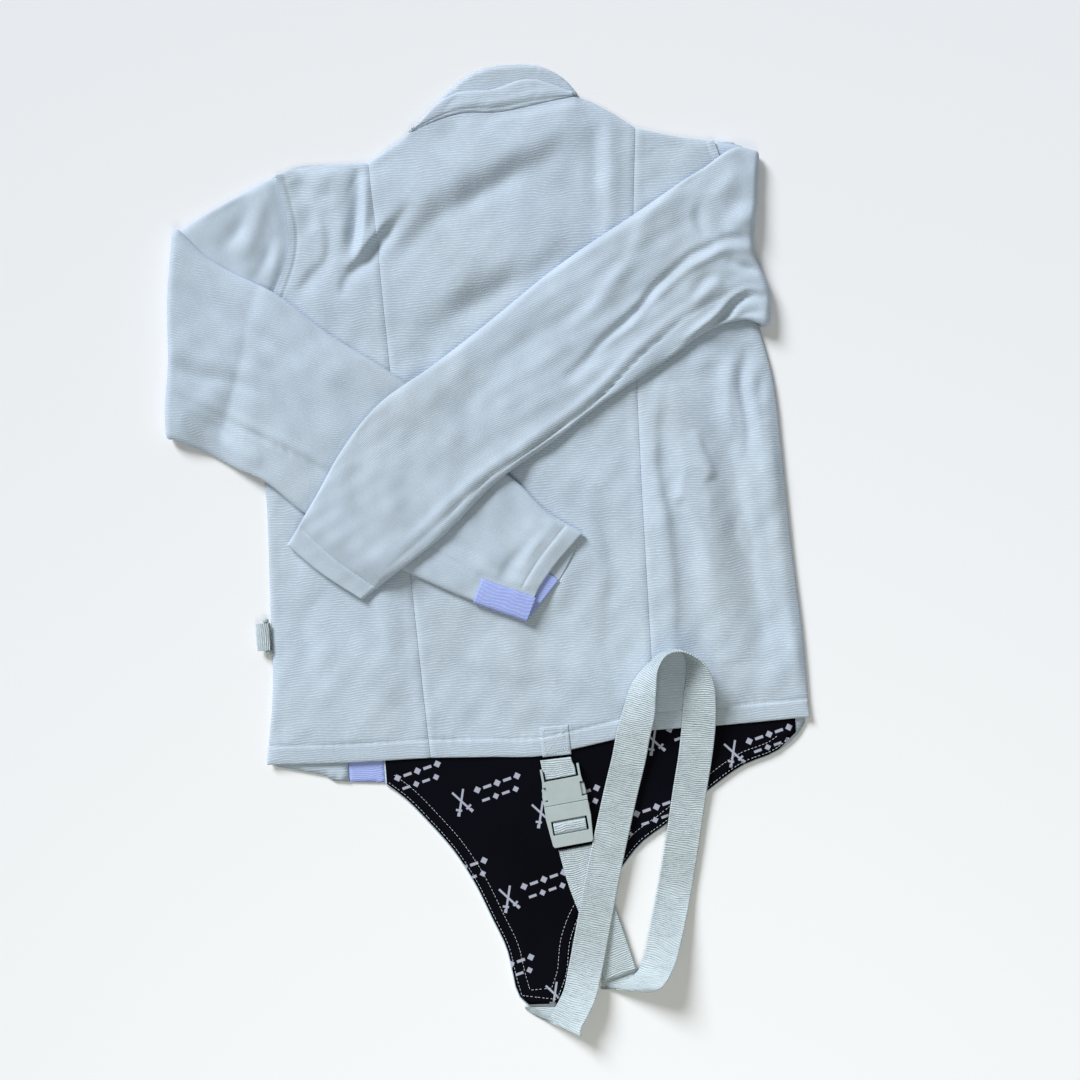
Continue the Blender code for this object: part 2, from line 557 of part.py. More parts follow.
def tube(name, arm, armhole, ground, stations, finish):
    """A sleeve: outer and inner skins with the cloth's wall between, open at cuff and armhole."""
    across, depth = ring_shape(SLEEVE_WIDTH)
    middle, normal, slip = skins(arm, armhole, ground, stations, across)
    half = SLEEVE_DEPTH / 2
    inner_across = np.clip(across, 0.03, 0.97)
    rings = []
    for level, is_inner in ((half, False), (half - SLEEVE_WALL, True)):
        reach = np.where(depth > 0.5, 1.0, depth) if is_inner else depth
        spread = level * reach[None, :, None]
        grid = middle
        if is_inner:
            take = np.array([np.interp(inner_across, across, np.arange(len(across)))])[0]
            low, frac = np.floor(take).astype(int), (take % 1)[None, :, None]
            high = np.minimum(low + 1, len(across) - 1)
            grid = middle[:, low] * (1 - frac) + middle[:, high] * frac
        upper_side = grid + normal * spread
        under_side = grid - normal * spread
        seen_up = normal[:, :, 2:3] > 0
        upper_side = upper_side + np.where(seen_up, 0, 1) * slip
        rings.append(np.concatenate([upper_side, under_side[:, -2:0:-1]], axis=1))
    outer, inner = rings
    count, sides = outer.shape[:2]
    faces = []
    total = count * sides
    for i in range(count - 1):
        for j in range(sides):
            k = (j + 1) % sides
            quad = (i * sides + j, i * sides + k, (i + 1) * sides + k, (i + 1) * sides + j)
            faces.append(quad)
            faces.append(tuple(total + index for index in quad[::-1]))
    for i in (0, count - 1):
        for j in range(sides):
            k = (j + 1) % sides
            faces.append((i * sides + j, i * sides + k, total + i * sides + k, total + i * sides + j))
    add_object(name, np.concatenate([outer.reshape(-1, 3), inner.reshape(-1, 3)]), faces, finish)


def arm_outline(arm):
    """Plan outline of a folded forearm."""
    count = np.linspace(0, 1, 30)
    low, high = smooth_curve(arm["forearm_low"], count), smooth_curve(arm["forearm_high"], count)
    return np.concatenate([low, high[::-1]])


def upper_arm_outline(arm):
    """Plan outline of an upper arm beside the body."""
    return np.array(arm["upper_arm_low"] + arm["fold"][1:] + arm["upper_arm_high"][::-1][1:])


def ground_left(spots):
    """What the left forearm lies on: the body, and the left upper arm."""
    body = plateau(BODY_OUTLINE, BODY_TOP, spots)
    return np.maximum(body, plateau(upper_arm_outline(LEFT_ARM), ARM_TOP, spots))


def ground_right(spots):
    """What the right forearm lies on: the body, its own upper arm and the left forearm."""
    body = plateau(BODY_OUTLINE, BODY_TOP, spots)
    under = np.maximum(body, plateau(upper_arm_outline(RIGHT_ARM), ARM_TOP, spots))
    left_arm = plateau(arm_outline(LEFT_ARM), ARM_TOP, spots, SLEEVE_SLOPE)
    return np.maximum(under, ground_left(spots)) + left_arm


def build_sleeves():
    """Left sleeve first, the right one over it, and the stretch gusset on the left cuff."""
    sides = [("sleeve_left", LEFT_ARM, 0, -ARMHOLE_GAP, ground_left, (7, 24)),
             ("sleeve_right", RIGHT_ARM, 3, ARMHOLE_GAP, ground_right, (4, 27))]
    for name, arm, column, gap, ground, stations in sides:
        tube(name, arm, armhole_curve(column, gap), ground, stations, "canvas")
    build_gusset(LEFT_ARM, ground_left)


def build_gusset(arm, ground):
    """Stretch insert along the lower edge of the left cuff, made from the sleeve's own lower
    edge moved out by a seam's gap."""
    along = np.linspace(GUSSET_START, 1, 7)
    low = smooth_curve(arm["forearm_low"], along)
    inner = low + np.array(GUSSET_ACROSS) * GUSSET_REACH
    rows = []
    for share, lift in GUSSET_SECTION:
        plan = low + (inner - low) * share
        z = ground(low) + SLEEVE_DEPTH / 2 + lift * (SLEEVE_DEPTH / 2 + 3 * SEAM)
        z = np.where(lift == 1, ground(plan) + SLEEVE_DEPTH + 3 * SEAM, z)
        z = np.where(lift == -1, ground(plan) - 1.5 * SEAM, z)
        rows.append(np.column_stack([plan, z]))
    skin = np.stack(rows, axis=1)
    push = np.array(GUSSET_PUSH)
    thick = np.where(push[:, 2:3] < -0.9, GUSSET_THIN, ELASTIC_CLOTH)
    slab("cuff_elastic", skin, skin + push[None] * thick[None], "elastic")


def box_between(x0, x1, y0, y1, z0, z1):
    """Corners and faces of an upright box."""
    points = [(x, y, z) for z in (z0, z1) for x, y in ((x0, y0), (x1, y0), (x1, y1), (x0, y1))]
    faces = [(3, 2, 1, 0), (4, 5, 6, 7), (0, 1, 5, 4), (1, 2, 6, 5), (2, 3, 7, 6), (3, 0, 4, 7)]
    return points, faces


def buckle_space(points):
    """From the buckle's own frame to the jacket's."""
    points = np.asarray(points, dtype=float)
    turn = math.radians(BUCKLE_TURN)
    x = BUCKLE_CENTRE[0] + points[:, 0] * math.cos(turn) - points[:, 1] * math.sin(turn)
    y = BUCKLE_CENTRE[1] + points[:, 0] * math.sin(turn) + points[:, 1] * math.cos(turn)
    return np.column_stack([x, y, points[:, 2] + BUCKLE_BASE])


def cut(item, name, points, faces, operation):
    """Join or cut a moulded shape by another one in the buckle's frame."""
    tool = add_object(name, buckle_space(points), faces, "plastic")
    change = item.modifiers.new(name, "BOOLEAN")
    change.operation = operation
    change.solver = "EXACT"
    change.object = tool
    tool.hide_render = True
    tool.display_type = "WIRE"


def moulding(name, outline, z0, z1):
    """Plate of the buckle, cut to an outline in its own frame."""
    count = len(outline)
    points = [(x, y, z0) for x, y in outline] + [(x, y, z1) for x, y in outline]
    sides = [(i, (i + 1) % count, (i + 1) % count + count, i + count) for i in range(count)]
    faces = [tuple(range(count)), tuple(range(2 * count - 1, count - 1, -1))] + sides
    return add_object(name, buckle_space(points), faces, "plastic")


def build_buckle():
    """Side-release buckle, fastened: a flat socket with two side windows, and the half with the
    prongs, whose frame holds the long strap on its bar."""
    top, ears = FEMALE_LENGTH, FEMALE_LENGTH + FEMALE_EARS
    outline = [(-20, 0.2), (20, 0.2), (20.2, 8), (18.5, 17), (17.8, top), (17.8, ears), (15.6, ears),
               (15.6, top), (-15.6, top), (-15.6, ears), (-17.8, ears), (-17.8, top), (-18.5, 17), (-20.2, 8)]
    female = moulding("buckle_female", outline, 0.0, BUCKLE_THICK)
    cut(female, "socket", *box_between(-17, 17, -2, top - 3, 1.6, BUCKLE_THICK - 1.6), "DIFFERENCE")
    for side in (-1, 1):
        x0, x1 = sorted((side * 15.4, side * 24))
        cut(female, "window", *box_between(x0, x1, 4, 17, 1.0, BUCKLE_THICK + 1), "DIFFERENCE")
    frame = [(-20, -0.2), (-20.3, -14), (-18.4, -MALE_LENGTH + 2), (-17, -MALE_LENGTH), (17, -MALE_LENGTH),
             (18.4, -MALE_LENGTH + 2), (20.3, -14), (20, -0.2)]
    male = moulding("buckle_male", frame[::-1], 0.0, BUCKLE_THICK)
    cut(male, "slot", *box_between(-16.2, 16.2, -27, -14, -1, BUCKLE_THICK + 1), "DIFFERENCE")
    room = box_between(-16.2, 16.2, -MALE_LENGTH - 1, -30.5, -1, BUCKLE_THICK - 2.2)
    cut(male, "bar_room", *room, "DIFFERENCE")
    for side in (-1, 1):
        x0, x1 = sorted((side * 11.2, side * 15.0))
        cut(male, "prong", *box_between(x0, x1, -1, 15.5, 2.2, BUCKLE_THICK - 2.2), "UNION")
        x0, x1 = sorted((side * 14, side * 19.4))
        cut(male, "catch", *box_between(x0, x1, 5, 15.5, 2.2, BUCKLE_THICK - 2.2), "UNION")


def square_at(centre, turn, width, length):
    """Corners of a turned rectangle."""
    turn = math.radians(turn)
    corners = np.array([(-1, -1), (1, -1), (1, 1), (-1, 1)]) * (width / 2, length / 2)
    along, across = np.array([math.cos(turn), math.sin(turn)]), np.array([-math.sin(turn), math.cos(turn)])
    return np.array(centre) + corners[:, :1] * along + corners[:, 1:] * across


def build_webbing():
    """Hem tab, short webbing, long strap with its free end, and the side adjuster."""
    corners = square_at(TAB_CENTRE, TAB_TURN, *TAB_SIZE)
    along = np.linspace(0, 1, 5)[None, :, None]
    plan = corners[:2, None] * (1 - along) + corners[:1:-1, None] * along
    base = back_top(plan) + 2 * SEAM
    slab("hem_tab", np.dstack([plan, base]), np.dstack([plan, base + TAB_CLOTH]), "canvas")
    ribbon("tab_webbing", SHORT_ROUTE, 7, "webbing", SHORT_WIDTH, SHORT_THICK)
    ribbon("crotch_strap", STRAP_ROUTE, 90, "webbing")
    ribbon("strap_tail", TAIL_ROUTE, 12, "webbing")
    (x0, y0), (x1, y1) = SIDE_BAR_ENDS
    steps = np.radians(np.arange(0, 360, 45))
    rings = []
    for share, size in SIDE_BAR_SHAPE:
        x, y = x0 + (x1 - x0) * share, y0 + (y1 - y0) * share
        radius = SIDE_BAR_RADIUS * size
        rings.append([(x + radius * math.cos(t), y, SIDE_BAR_HEIGHT + radius * math.sin(t)) for t in steps])
    loft("side_bar", np.array(rings), "plastic")
    section = SIDE_LOOP_OUTER + SIDE_LOOP_INNER[::-1]
    webs = [[(x, y, z) for x, z in section] for y in SIDE_LOOP_Y]
    loft("side_webbing", np.array(webs), "webbing")


clear_scene()
build_front()
build_back()
build_collar()
build_sleeves()
build_buckle()
build_webbing()
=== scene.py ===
"""Looks of a fencing jacket that lies on its front, back up, with both sleeves folded across the back.

Tables are in millimetres in the jacket's own frame: +Y from the hem to the collar, +X towards the
wearer's right, z from the floor.  Meshes are in metres.
"""
import math

import bpy
import numpy as np
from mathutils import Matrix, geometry


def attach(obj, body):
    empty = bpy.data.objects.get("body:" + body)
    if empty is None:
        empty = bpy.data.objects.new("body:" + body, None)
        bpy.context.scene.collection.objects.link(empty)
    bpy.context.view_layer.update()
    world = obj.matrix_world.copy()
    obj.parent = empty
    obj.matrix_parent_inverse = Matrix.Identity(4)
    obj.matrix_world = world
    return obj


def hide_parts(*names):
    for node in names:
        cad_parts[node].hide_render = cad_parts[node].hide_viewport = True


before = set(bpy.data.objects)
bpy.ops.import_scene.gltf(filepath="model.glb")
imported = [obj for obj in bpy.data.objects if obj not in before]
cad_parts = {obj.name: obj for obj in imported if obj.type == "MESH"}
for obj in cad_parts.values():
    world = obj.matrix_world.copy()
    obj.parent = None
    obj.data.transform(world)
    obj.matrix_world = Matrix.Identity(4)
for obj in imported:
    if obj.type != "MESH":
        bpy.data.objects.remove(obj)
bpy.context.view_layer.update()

# ---------------------------------------------------------------- floor, camera and light
# The jacket lies on a plain pale floor and is seen from straight above.  The main light is soft and
# low, from beyond the collar on the wearer's left; a panel beyond the hem and an even sky fill in.
AIM = (0.0492, 0.0073)
CAMERA_HEIGHT = 1.51
VIEW_WIDTH = 0.972
VIEW_TURN = math.radians(-4)
SENSOR = 36.0
FLOOR_SIZE = 8.0
FLOOR_LEVEL = -0.0004
WINDOW_TURNS = (math.radians(60), 0, math.radians(216))

camera_data = bpy.data.cameras.new("camera")
camera_data.sensor_width = SENSOR
camera_data.lens = SENSOR * (CAMERA_HEIGHT - 0.01) / VIEW_WIDTH
camera = bpy.data.objects.new("camera", camera_data)
camera.location = (*AIM, CAMERA_HEIGHT)
camera.rotation_euler = (0, 0, VIEW_TURN)
bpy.context.scene.collection.objects.link(camera)
bpy.context.scene.camera = camera
bpy.context.scene.view_settings.view_transform = "Standard"

world = bpy.data.worlds.new("sky")
world.use_nodes = True
sky = world.node_tree.nodes["Background"]
sky.inputs["Color"].default_value = (0.93, 0.97, 1.0, 1)
sky.inputs["Strength"].default_value = 0.24
bpy.context.scene.world = world


def add_light(name, place, size, power, colour):
    """Square soft light that faces the middle of the jacket."""
    lamp = bpy.data.lights.new(name, "AREA")
    lamp.size, lamp.energy, lamp.color = size, power, colour
    light = bpy.data.objects.new(name, lamp)
    light.location = place
    aim = np.array([*AIM, 0.0]) - np.array(place)
    light.rotation_euler = (math.acos(-aim[2] / np.linalg.norm(aim)), 0, math.atan2(-aim[0], aim[1]))
    bpy.context.scene.collection.objects.link(light)
    return light


add_light("low_fill", (0.05, -0.95, 1.45), 0.8, 6.5, (1.0, 0.98, 0.74))
window = bpy.data.lights.new("window", "SUN")
window.energy, window.angle, window.color = 3.7, math.radians(22), (0.96, 0.985, 1.0)
window_light = bpy.data.objects.new("window", window)
window_light.rotation_euler = WINDOW_TURNS
bpy.context.scene.collection.objects.link(window_light)


def new_object(name, mesh):
    """Object at the origin, linked to the scene."""
    item = bpy.data.objects.new(name, mesh)
    bpy.context.scene.collection.objects.link(item)
    return item


def put(target, values):
    """Set a socket: link it if the value is a socket, or else write the value."""
    if isinstance(values, bpy.types.NodeSocket):
        target.id_data.links.new(values, target)
    else:
        target.default_value = values


def add_node(tree, kind, inputs=None, **settings):
    """Shader node with its settings and inputs; an input is a plain value or another node's socket."""
    made = tree.nodes.new("ShaderNode" + kind)
    for name, value in settings.items():
        setattr(made, name, value)
    for place, value in (inputs or {}).items():
        put(made.inputs[place], value)
    return made


def new_material(name, roughness, specular=0.3, sheen=0.0):
    """Material with a Principled shader, and its tree."""
    finish = bpy.data.materials.new(name)
    finish.use_nodes = True
    shader = finish.node_tree.nodes["Principled BSDF"]
    shader.inputs["Roughness"].default_value = roughness
    shader.inputs["Specular IOR Level"].default_value = specular
    shader.inputs["Sheen Weight"].default_value = sheen
    shader.inputs["Sheen Roughness"].default_value = 0.5
    return finish, finish.node_tree, shader


floor_mesh = bpy.data.meshes.new("floor")
floor_corners = [(x * FLOOR_SIZE, y * FLOOR_SIZE, FLOOR_LEVEL)
                 for x, y in ((-1, -1), (1, -1), (1, 1), (-1, 1))]
floor_mesh.from_pydata(floor_corners, [], [(0, 1, 2, 3)])
floor = new_object("floor", floor_mesh)
floor_finish, _, floor_shader = new_material("floor", 0.9, 0.1)
floor_shader.inputs["Base Color"].default_value = (0.90, 0.91, 0.95, 1)
floor_mesh.materials.append(floor_finish)

# ---------------------------------------------------------------- the front
# Two fronts of stiff protective cloth, which lie flat on the floor under the back: a small one at
# the wearer's left and the main one, whose lower end is the crotch flap.  Only their lower ends show.
MM = 0.001
SEAM = 0.3
FRONT_CLOTH = 2.2
CANVAS_COLOUR = (0.50, 0.592, 0.712, 1)
CANVAS_SHADE = (0.465, 0.535, 0.60, 1)


def weave_group():
    """Node group for a ribbed weave.  Ribs are a sine across the cloth that wanders a little; a noise
    stretched along them breaks them into dashes, and that height drives the bump.  The colour is also
    darkened where the height is low: painted shade in the weave's grooves.  Two slow noises cloud and stain
    the cloth."""
    group = bpy.data.node_groups.new("ribbed weave", "ShaderNodeTree")
    for name, kind in (("Cloth", "Vector"), ("Colour", "Color"), ("Shade", "Color"),
                       ("Dash Length", "Float"), ("Rib Pitch", "Float"), ("Contrast", "Float"),
                       ("Clouding", "Float")):
        group.interface.new_socket(name, in_out="INPUT", socket_type="NodeSocket" + kind)
    group.interface.new_socket("Colour", in_out="OUTPUT", socket_type="NodeSocketColor")
    group.interface.new_socket("Height", in_out="OUTPUT", socket_type="NodeSocketFloat")
    given = group.nodes.new("NodeGroupInput").outputs
    place = add_node(group, "SeparateXYZ", {0: given["Cloth"]}).outputs
    wander = add_node(group, "TexNoise", {"Vector": given["Cloth"], "Scale": 40.0, "Detail": 1.0}).outputs[0]
    across = add_node(group, "Math", {0: wander, 1: 0.007, 2: place["Y"]},
                      operation="MULTIPLY_ADD").outputs[0]
    count = add_node(group, "Math", {0: across, 1: given["Rib Pitch"]}, operation="DIVIDE").outputs[0]
    turns = add_node(group, "Math", {0: count, 1: 2 * math.pi}, operation="MULTIPLY").outputs[0]
    rib = add_node(group, "Math", {0: turns}, operation="SINE").outputs[0]
    along = add_node(group, "Math", {0: place["X"], 1: given["Dash Length"]}, operation="DIVIDE").outputs[0]
    cell = add_node(group, "CombineXYZ", {"X": along, "Y": count, "Z": 0.0}).outputs[0]
    dash = add_node(group, "TexNoise", {"Vector": cell, "Scale": 1.0, "Detail": 2.0,
                                        "Roughness": 0.6}).outputs[0]
    strength = add_node(group, "Math", {0: dash, 1: 1.1, 2: -0.25}, operation="MULTIPLY_ADD").outputs[0]
    height = add_node(group, "Math", {0: rib, 1: strength, 2: dash}, operation="MULTIPLY_ADD").outputs[0]
    clouds = add_node(group, "TexNoise", {"Vector": given["Cloth"], "Scale": 22.0, "Detail": 4.0,
                                          "Roughness": 0.6})
    stains = add_node(group, "TexNoise", {"Vector": given["Cloth"], "Scale": 6.5, "Detail": 2.0,
                                          "Roughness": 0.5})
    # Painted shade: the colour is made darker in the ribs' grooves, where the weave's height is low.
    centred = add_node(group, "Math", {0: height, 1: 0.5}, operation="SUBTRACT").outputs[0]
    painted_rib_shade = add_node(group, "Math", {0: centred, 1: given["Contrast"], 2: 1.0},
                       operation="MULTIPLY_ADD").outputs[0]
    cloud = add_node(group, "Math", {0: clouds.outputs[0], 1: 0.34, 2: 0.83},
                     operation="MULTIPLY_ADD").outputs[0]
    rib_shade_and_clouds = add_node(group, "Math", {0: painted_rib_shade, 1: cloud}, operation="MULTIPLY").outputs[0]
    patch = add_node(group, "MapRange", {"Value": stains.outputs[0], "From Min": 0.42, "From Max": 0.70,
                                         "To Min": 0.0, "To Max": given["Clouding"]})
    mixed = add_node(group, "Mix", {0: patch.outputs[0], 6: given["Colour"], 7: given["Shade"]},
                     data_type="RGBA")
    toned = add_node(group, "VectorMath", {0: mixed.outputs[2], "Scale": rib_shade_and_clouds}, operation="SCALE")
    result = group.nodes.new("NodeGroupOutput").inputs
    put(result["Colour"], toned.outputs[0])
    put(result["Height"], height)
    return group


RIBBED_WEAVE = weave_group()


def woven_finish(name, colour, shade, dash, pitch, rib_shade_depth, clouding, bump, roughness, sheen,
                 specular=0.25):
    """Cloth whose colour and relief come from the ribbed weave, laid out on the piece's own cloth map."""
    finish, tree, shader = new_material(name, roughness, specular, sheen)
    layout = add_node(tree, "UVMap", uv_map="cloth")
    weave = add_node(tree, "Group", node_tree=RIBBED_WEAVE)
    for place, value in (("Cloth", layout.outputs[0]), ("Colour", colour), ("Shade", shade),
                         ("Dash Length", dash), ("Rib Pitch", pitch), ("Contrast", rib_shade_depth),
                         ("Clouding", clouding)):
        put(weave.inputs[place], value)
    relief = add_node(tree, "Bump", {"Strength": 1.0, "Distance": bump, "Height": weave.outputs["Height"]})
    put(shader.inputs["Base Color"], weave.outputs["Colour"])
    put(shader.inputs["Normal"], relief.outputs[0])
    return finish, tree, weave


canvas = woven_finish("body canvas", CANVAS_COLOUR, CANVAS_SHADE, 0.005, 0.0023, 0.28, 0.6, 0.0002, 0.88,
                      0.2)[0]


def smooth_curve(points, shares):
    """Points at the given shares of a smooth curve: a cubic between neighbours, with each slope
    taken from the points on either side."""
    points = np.asarray(points, dtype=float)
    steps = np.linalg.norm(np.diff(points, axis=0), axis=1)
    stops = np.concatenate([[0.0], np.cumsum(steps)])
    stops = stops / stops[-1]
    slopes = np.gradient(points, stops, axis=0)
    shares = np.asarray(shares, dtype=float)
    cell = np.clip(np.searchsorted(stops, shares, side="right") - 1, 0, len(stops) - 2)
    span = (stops[cell + 1] - stops[cell])[:, None]
    t = ((shares - stops[cell]) / span[:, 0])[:, None]
    return (points[cell] * (1 + 2 * t) * (1 - t) ** 2 + slopes[cell] * span * t * (1 - t) ** 2
            + points[cell + 1] * t * t * (3 - 2 * t) + slopes[cell + 1] * span * t * t * (t - 1))


def smoothstep(value):
    """0 below 0, 1 above 1, and a soft S between."""
    value = np.clip(value, 0.0, 1.0)
    return value * value * (3 - 2 * value)


def nearest_on(path, spots):
    """Signed distance of each spot to an open path, positive on its left, and the share along it."""
    flat = spots.reshape(-1, 1, 2)
    a, along = path[None, :-1], np.diff(path, axis=0)[None]
    share = np.clip(((flat - a) * along).sum(-1) / (along ** 2).sum(-1), 0, 1)
    away = flat - a - share[..., None] * along
    gap = np.linalg.norm(away, axis=-1)
    pick = gap.argmin(1)
    row = np.arange(len(pick))
    side = np.sign(along[0, pick, 0] * away[row, pick, 1] - along[0, pick, 1] * away[row, pick, 0])
    place = (pick + share[row, pick]) / along.shape[1]
    return (gap[row, pick] * side).reshape(spots.shape[:-1]), place.reshape(spots.shape[:-1])


def creases(table, spots):
    """Height that creases add.  Each follows a smooth path; sideways it is a bell, with a width of
    its own on either side, and along its length it swells a little and fades to nothing at the ends."""
    total = np.zeros(spots.shape[:-1])
    for height, left, right, points in table:
        path = smooth_curve(points, np.linspace(0, 1, 28))
        gap, share = nearest_on(path, spots)
        width = np.where(gap > 0, left, right)
        swell = 1 + 0.22 * np.sin(share * 9.0 + points[0][0])
        fade = np.sin(np.pi * np.clip(share, 0, 1)) ** 0.6
        total += height * swell * fade * np.exp(-(gap / width) ** 2)
    return total


def unevenness(spots, seed, length, height):
    """Slow waves: twelve sines of about one length, each with its own direction and start."""
    random = np.random.default_rng(seed)
    turn, start = random.uniform(0, 2 * np.pi, (2, 12))
    waves = 2 * np.pi / (length * random.uniform(0.6, 1.6, 12))
    phase = (spots[..., :1] * np.cos(turn) + spots[..., 1:2] * np.sin(turn)) * waves + start
    return height * np.sin(phase).sum(-1) / math.sqrt(12)


def depth_inside(outline, spots):
    """Distance from each spot to a closed outline, positive inside it."""
    outline = np.asarray(outline, dtype=float)
    shape = spots.shape[:-1]
    flat = spots.reshape(-1, 1, 2)
    a, b = outline[None], np.roll(outline, -1, axis=0)[None]
    along = b - a
    share = np.clip(((flat - a) * along).sum(-1) / (along ** 2).sum(-1), 0, 1)
    gap = np.linalg.norm(flat - a - share[..., None] * along, axis=-1).min(1)
    rises = (a[..., 1] > flat[..., 1]) != (b[..., 1] > flat[..., 1])
    height = np.where(along[..., 1] == 0, 1e-9, along[..., 1])
    cross_x = a[..., 0] + (flat[..., 1] - a[..., 1]) / height * along[..., 0]
    inside = (rises & (flat[..., 0] < cross_x)).sum(1) % 2 == 1
    return np.where(inside, gap, -gap).reshape(shape)


def finish_piece(name, points, faces, cloth_map, material, nodes, wall=None):
    """Object from points in mm.  cloth_map gives each face corner's place on the cut cloth, in mm;
    wall is the cloth's thickness, laid inwards from the mesh."""
    mesh = bpy.data.meshes.new(name)
    mesh.from_pydata((np.asarray(points) * MM).tolist(), [], np.asarray(faces).tolist())
    layer = mesh.uv_layers.new(name="cloth")
    layer.uv.foreach_set("vector", (np.asarray(cloth_map, dtype=np.float32) * MM).ravel())
    mesh.materials.append(material)
    mesh.shade_smooth()
    item = new_object(name, mesh)
    if wall:
        shell = item.modifiers.new("wall", "SOLIDIFY")
        shell.thickness = wall * MM
        shell.offset = -1
        shell.use_even_offset = False
    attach(item, "root")
    if nodes:
        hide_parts(*nodes)
    return item


def cut_sheet(outline, step):
    """Points and triangles of a flat piece with that outline: the outline itself, evened out, and a
    grid of points inside it, joined by Delaunay's rule."""
    outline = np.asarray(outline, dtype=float)
    closed = np.vstack([outline, outline[:1]])
    lengths = np.linalg.norm(np.diff(closed, axis=0), axis=1)
    rim = np.concatenate([closed[i] + np.linspace(0, 1, max(1, round(size / step)), endpoint=False)[:, None]
                          * (closed[i + 1] - closed[i]) for i, size in enumerate(lengths)])
    low, high = outline.min(0), outline.max(0)
    rows = np.arange(low[1], high[1], step * 0.87)
    columns = np.arange(low[0], high[0], step)
    inner = np.stack(np.meshgrid(columns, rows), axis=-1)
    inner[1::2, :, 0] += step / 2
    inner = inner.reshape(-1, 2)
    inner = inner[depth_inside(outline, inner) > step * 0.6]
    count = len(rim)
    edges = [(i, (i + 1) % count) for i in range(count)]
    made = geometry.delaunay_2d_cdt([*map(tuple, rim), *map(tuple, inner)], edges, [], 1, 1e-5)
    return np.array([tuple(p) for p in made[0]]), np.array(made[2])


def facing(points, faces, up):
    """The same triangles or quads, all turned to face up (or down)."""
    a, b, c = (points[faces[:, k]] for k in range(3))
    normal_z = (b[:, 0] - a[:, 0]) * (c[:, 1] - a[:, 1]) - (b[:, 1] - a[:, 1]) * (c[:, 0] - a[:, 0])
    wrong = normal_z * up < 0
    faces = faces.copy()
    faces[wrong] = faces[wrong][:, ::-1]
    return faces


def flat_piece(name, outline, step, height, material, nodes, wall, up=1):
    """Piece of cloth cut to an outline, with its outer face at height(plan)."""
    plan, faces = cut_sheet(outline, step)
    faces = facing(plan, faces, up)
    points = np.column_stack([plan, height(plan)])
    return finish_piece(name, points, faces, plan[faces.ravel()], material, nodes, wall)


# Back panels: one row for each level, hem first; (x, y) of both side edges and both long seams.
BODY_ROWS = [
    ((-211, -178), (-63, -182), (140, -171), (281, -169)),
    ((-201, -110), (-66, -110), (142, -100), (280, -95)),
    ((-198, -30), (-69, -30), (143, -20), (276, -25)),
    ((-195, 50), (-71, 60), (144, 60), (273, 60)),
    ((-196, 130), (-74, 140), (146, 140), (269, 140)),
    ((-187, 218), (-77, 225), (149, 225), (255, 209)),
    ((-158, 292), (-79, 295), (154, 300), (246, 300)),
    ((-166, 352), (-82, 358), (161, 373), (231, 356)),
]
UNDERARM_ROW = 5
ZIP_BOTTOM = (-139, -150)
ZIP_TOP = (-38, 374)
ZIP_WIDTH = 9.0
ELASTIC_X = (-138.0, -106.0)
ELASTIC_BOTTOM = -202.0
FLAP_LEFT = [(-105, -204), (-91, -216), (-70, -240), (-48, -269), (-33, -296), (-18, -332), (-7, -360),
             (-3, -384), (1, -403), (9, -412)]
FLAP_RIGHT = [(37, -413), (48, -388), (55, -354), (71, -324), (97, -300), (123, -272), (145, -258),
              (185, -230), (219, -209), (251, -198), (270, -184), (277, -174)]
FRONT_LEFT_HEM = [(-209, -177), (-201, -181), (-161, -191), (-152, -197), (-140, -199)]
FRONT_NECK = [(109, 404), (90, 375), (45, 345), (0, 350), (-34, 376)]
FRONT_INSET = 1.5
# Height, width on the left, width on the right, and path of the hollows on the hidden side.
FRONT_HOLLOWS = [
    (0.7, 9, 5, [(-20, 150), (30, 95), (62, 20), (70, -60)]),
    (0.6, 6, 10, [(210, 120), (188, 40), (200, -60)]),
    (0.5, 8, 8, [(120, 310), (150, 250), (210, 215)]),
    (0.6, 5, 9, [(-180, 60), (-165, -10), (-172, -80)]),
    (0.5, 7, 7, [(30, 290), (-10, 240), (-60, 215)]),
]


def body_column(column):
    """One edge or seam of the body table, hem first."""
    return [row[column] for row in BODY_ROWS]


def shifted(points, dx, dy=0.0):
    """The same curve moved sideways."""
    return [(x + dx, y + dy) for x, y in points]


def zip_side(side, out=ZIP_WIDTH / 2):
    """Left or right edge of the zip's tape, bottom first."""
    (x0, y0), (x1, y1) = ZIP_BOTTOM, ZIP_TOP
    length = math.hypot(x1 - x0, y1 - y0)
    reach = side * out
    return [(x0 + reach * (y1 - y0) / length, y0 - reach * (x1 - x0) / length),
            (x1 + reach * (y1 - y0) / length, y1 - reach * (x1 - x0) / length)]


def front_underside(spots):
    """Height of the fronts' outer face, which lies on the floor and lifts off it in a few hollows."""
    return np.clip(creases(FRONT_HOLLOWS, spots), 0, 0.9)


front_side_left = shifted(map(tuple, smooth_curve(body_column(0), np.linspace(0, 1, 20))), FRONT_INSET)
front_side_right = shifted(map(tuple, smooth_curve(body_column(3), np.linspace(0, 1, 20))), -FRONT_INSET)
zip_left, zip_right = shifted(zip_side(-1), -SEAM), shifted(zip_side(1), SEAM)
front_left_top = [(-166 + FRONT_INSET, 350), (-155, 355), (-116, 357), (-83, 356), (-50, 376)]
split_x = ELASTIC_X[0] - SEAM
front_left_outline = (FRONT_LEFT_HEM[:-1] + [(split_x, FRONT_LEFT_HEM[-1][1]), (split_x, zip_left[0][1] - 1)]
                      + zip_left + front_left_top[::-1] + front_side_left[1:-1][::-1])
front_left = flat_piece("front_left_cloth", front_left_outline, 6.0, front_underside, canvas,
                        ["front_left"], FRONT_CLOTH, up=-1)

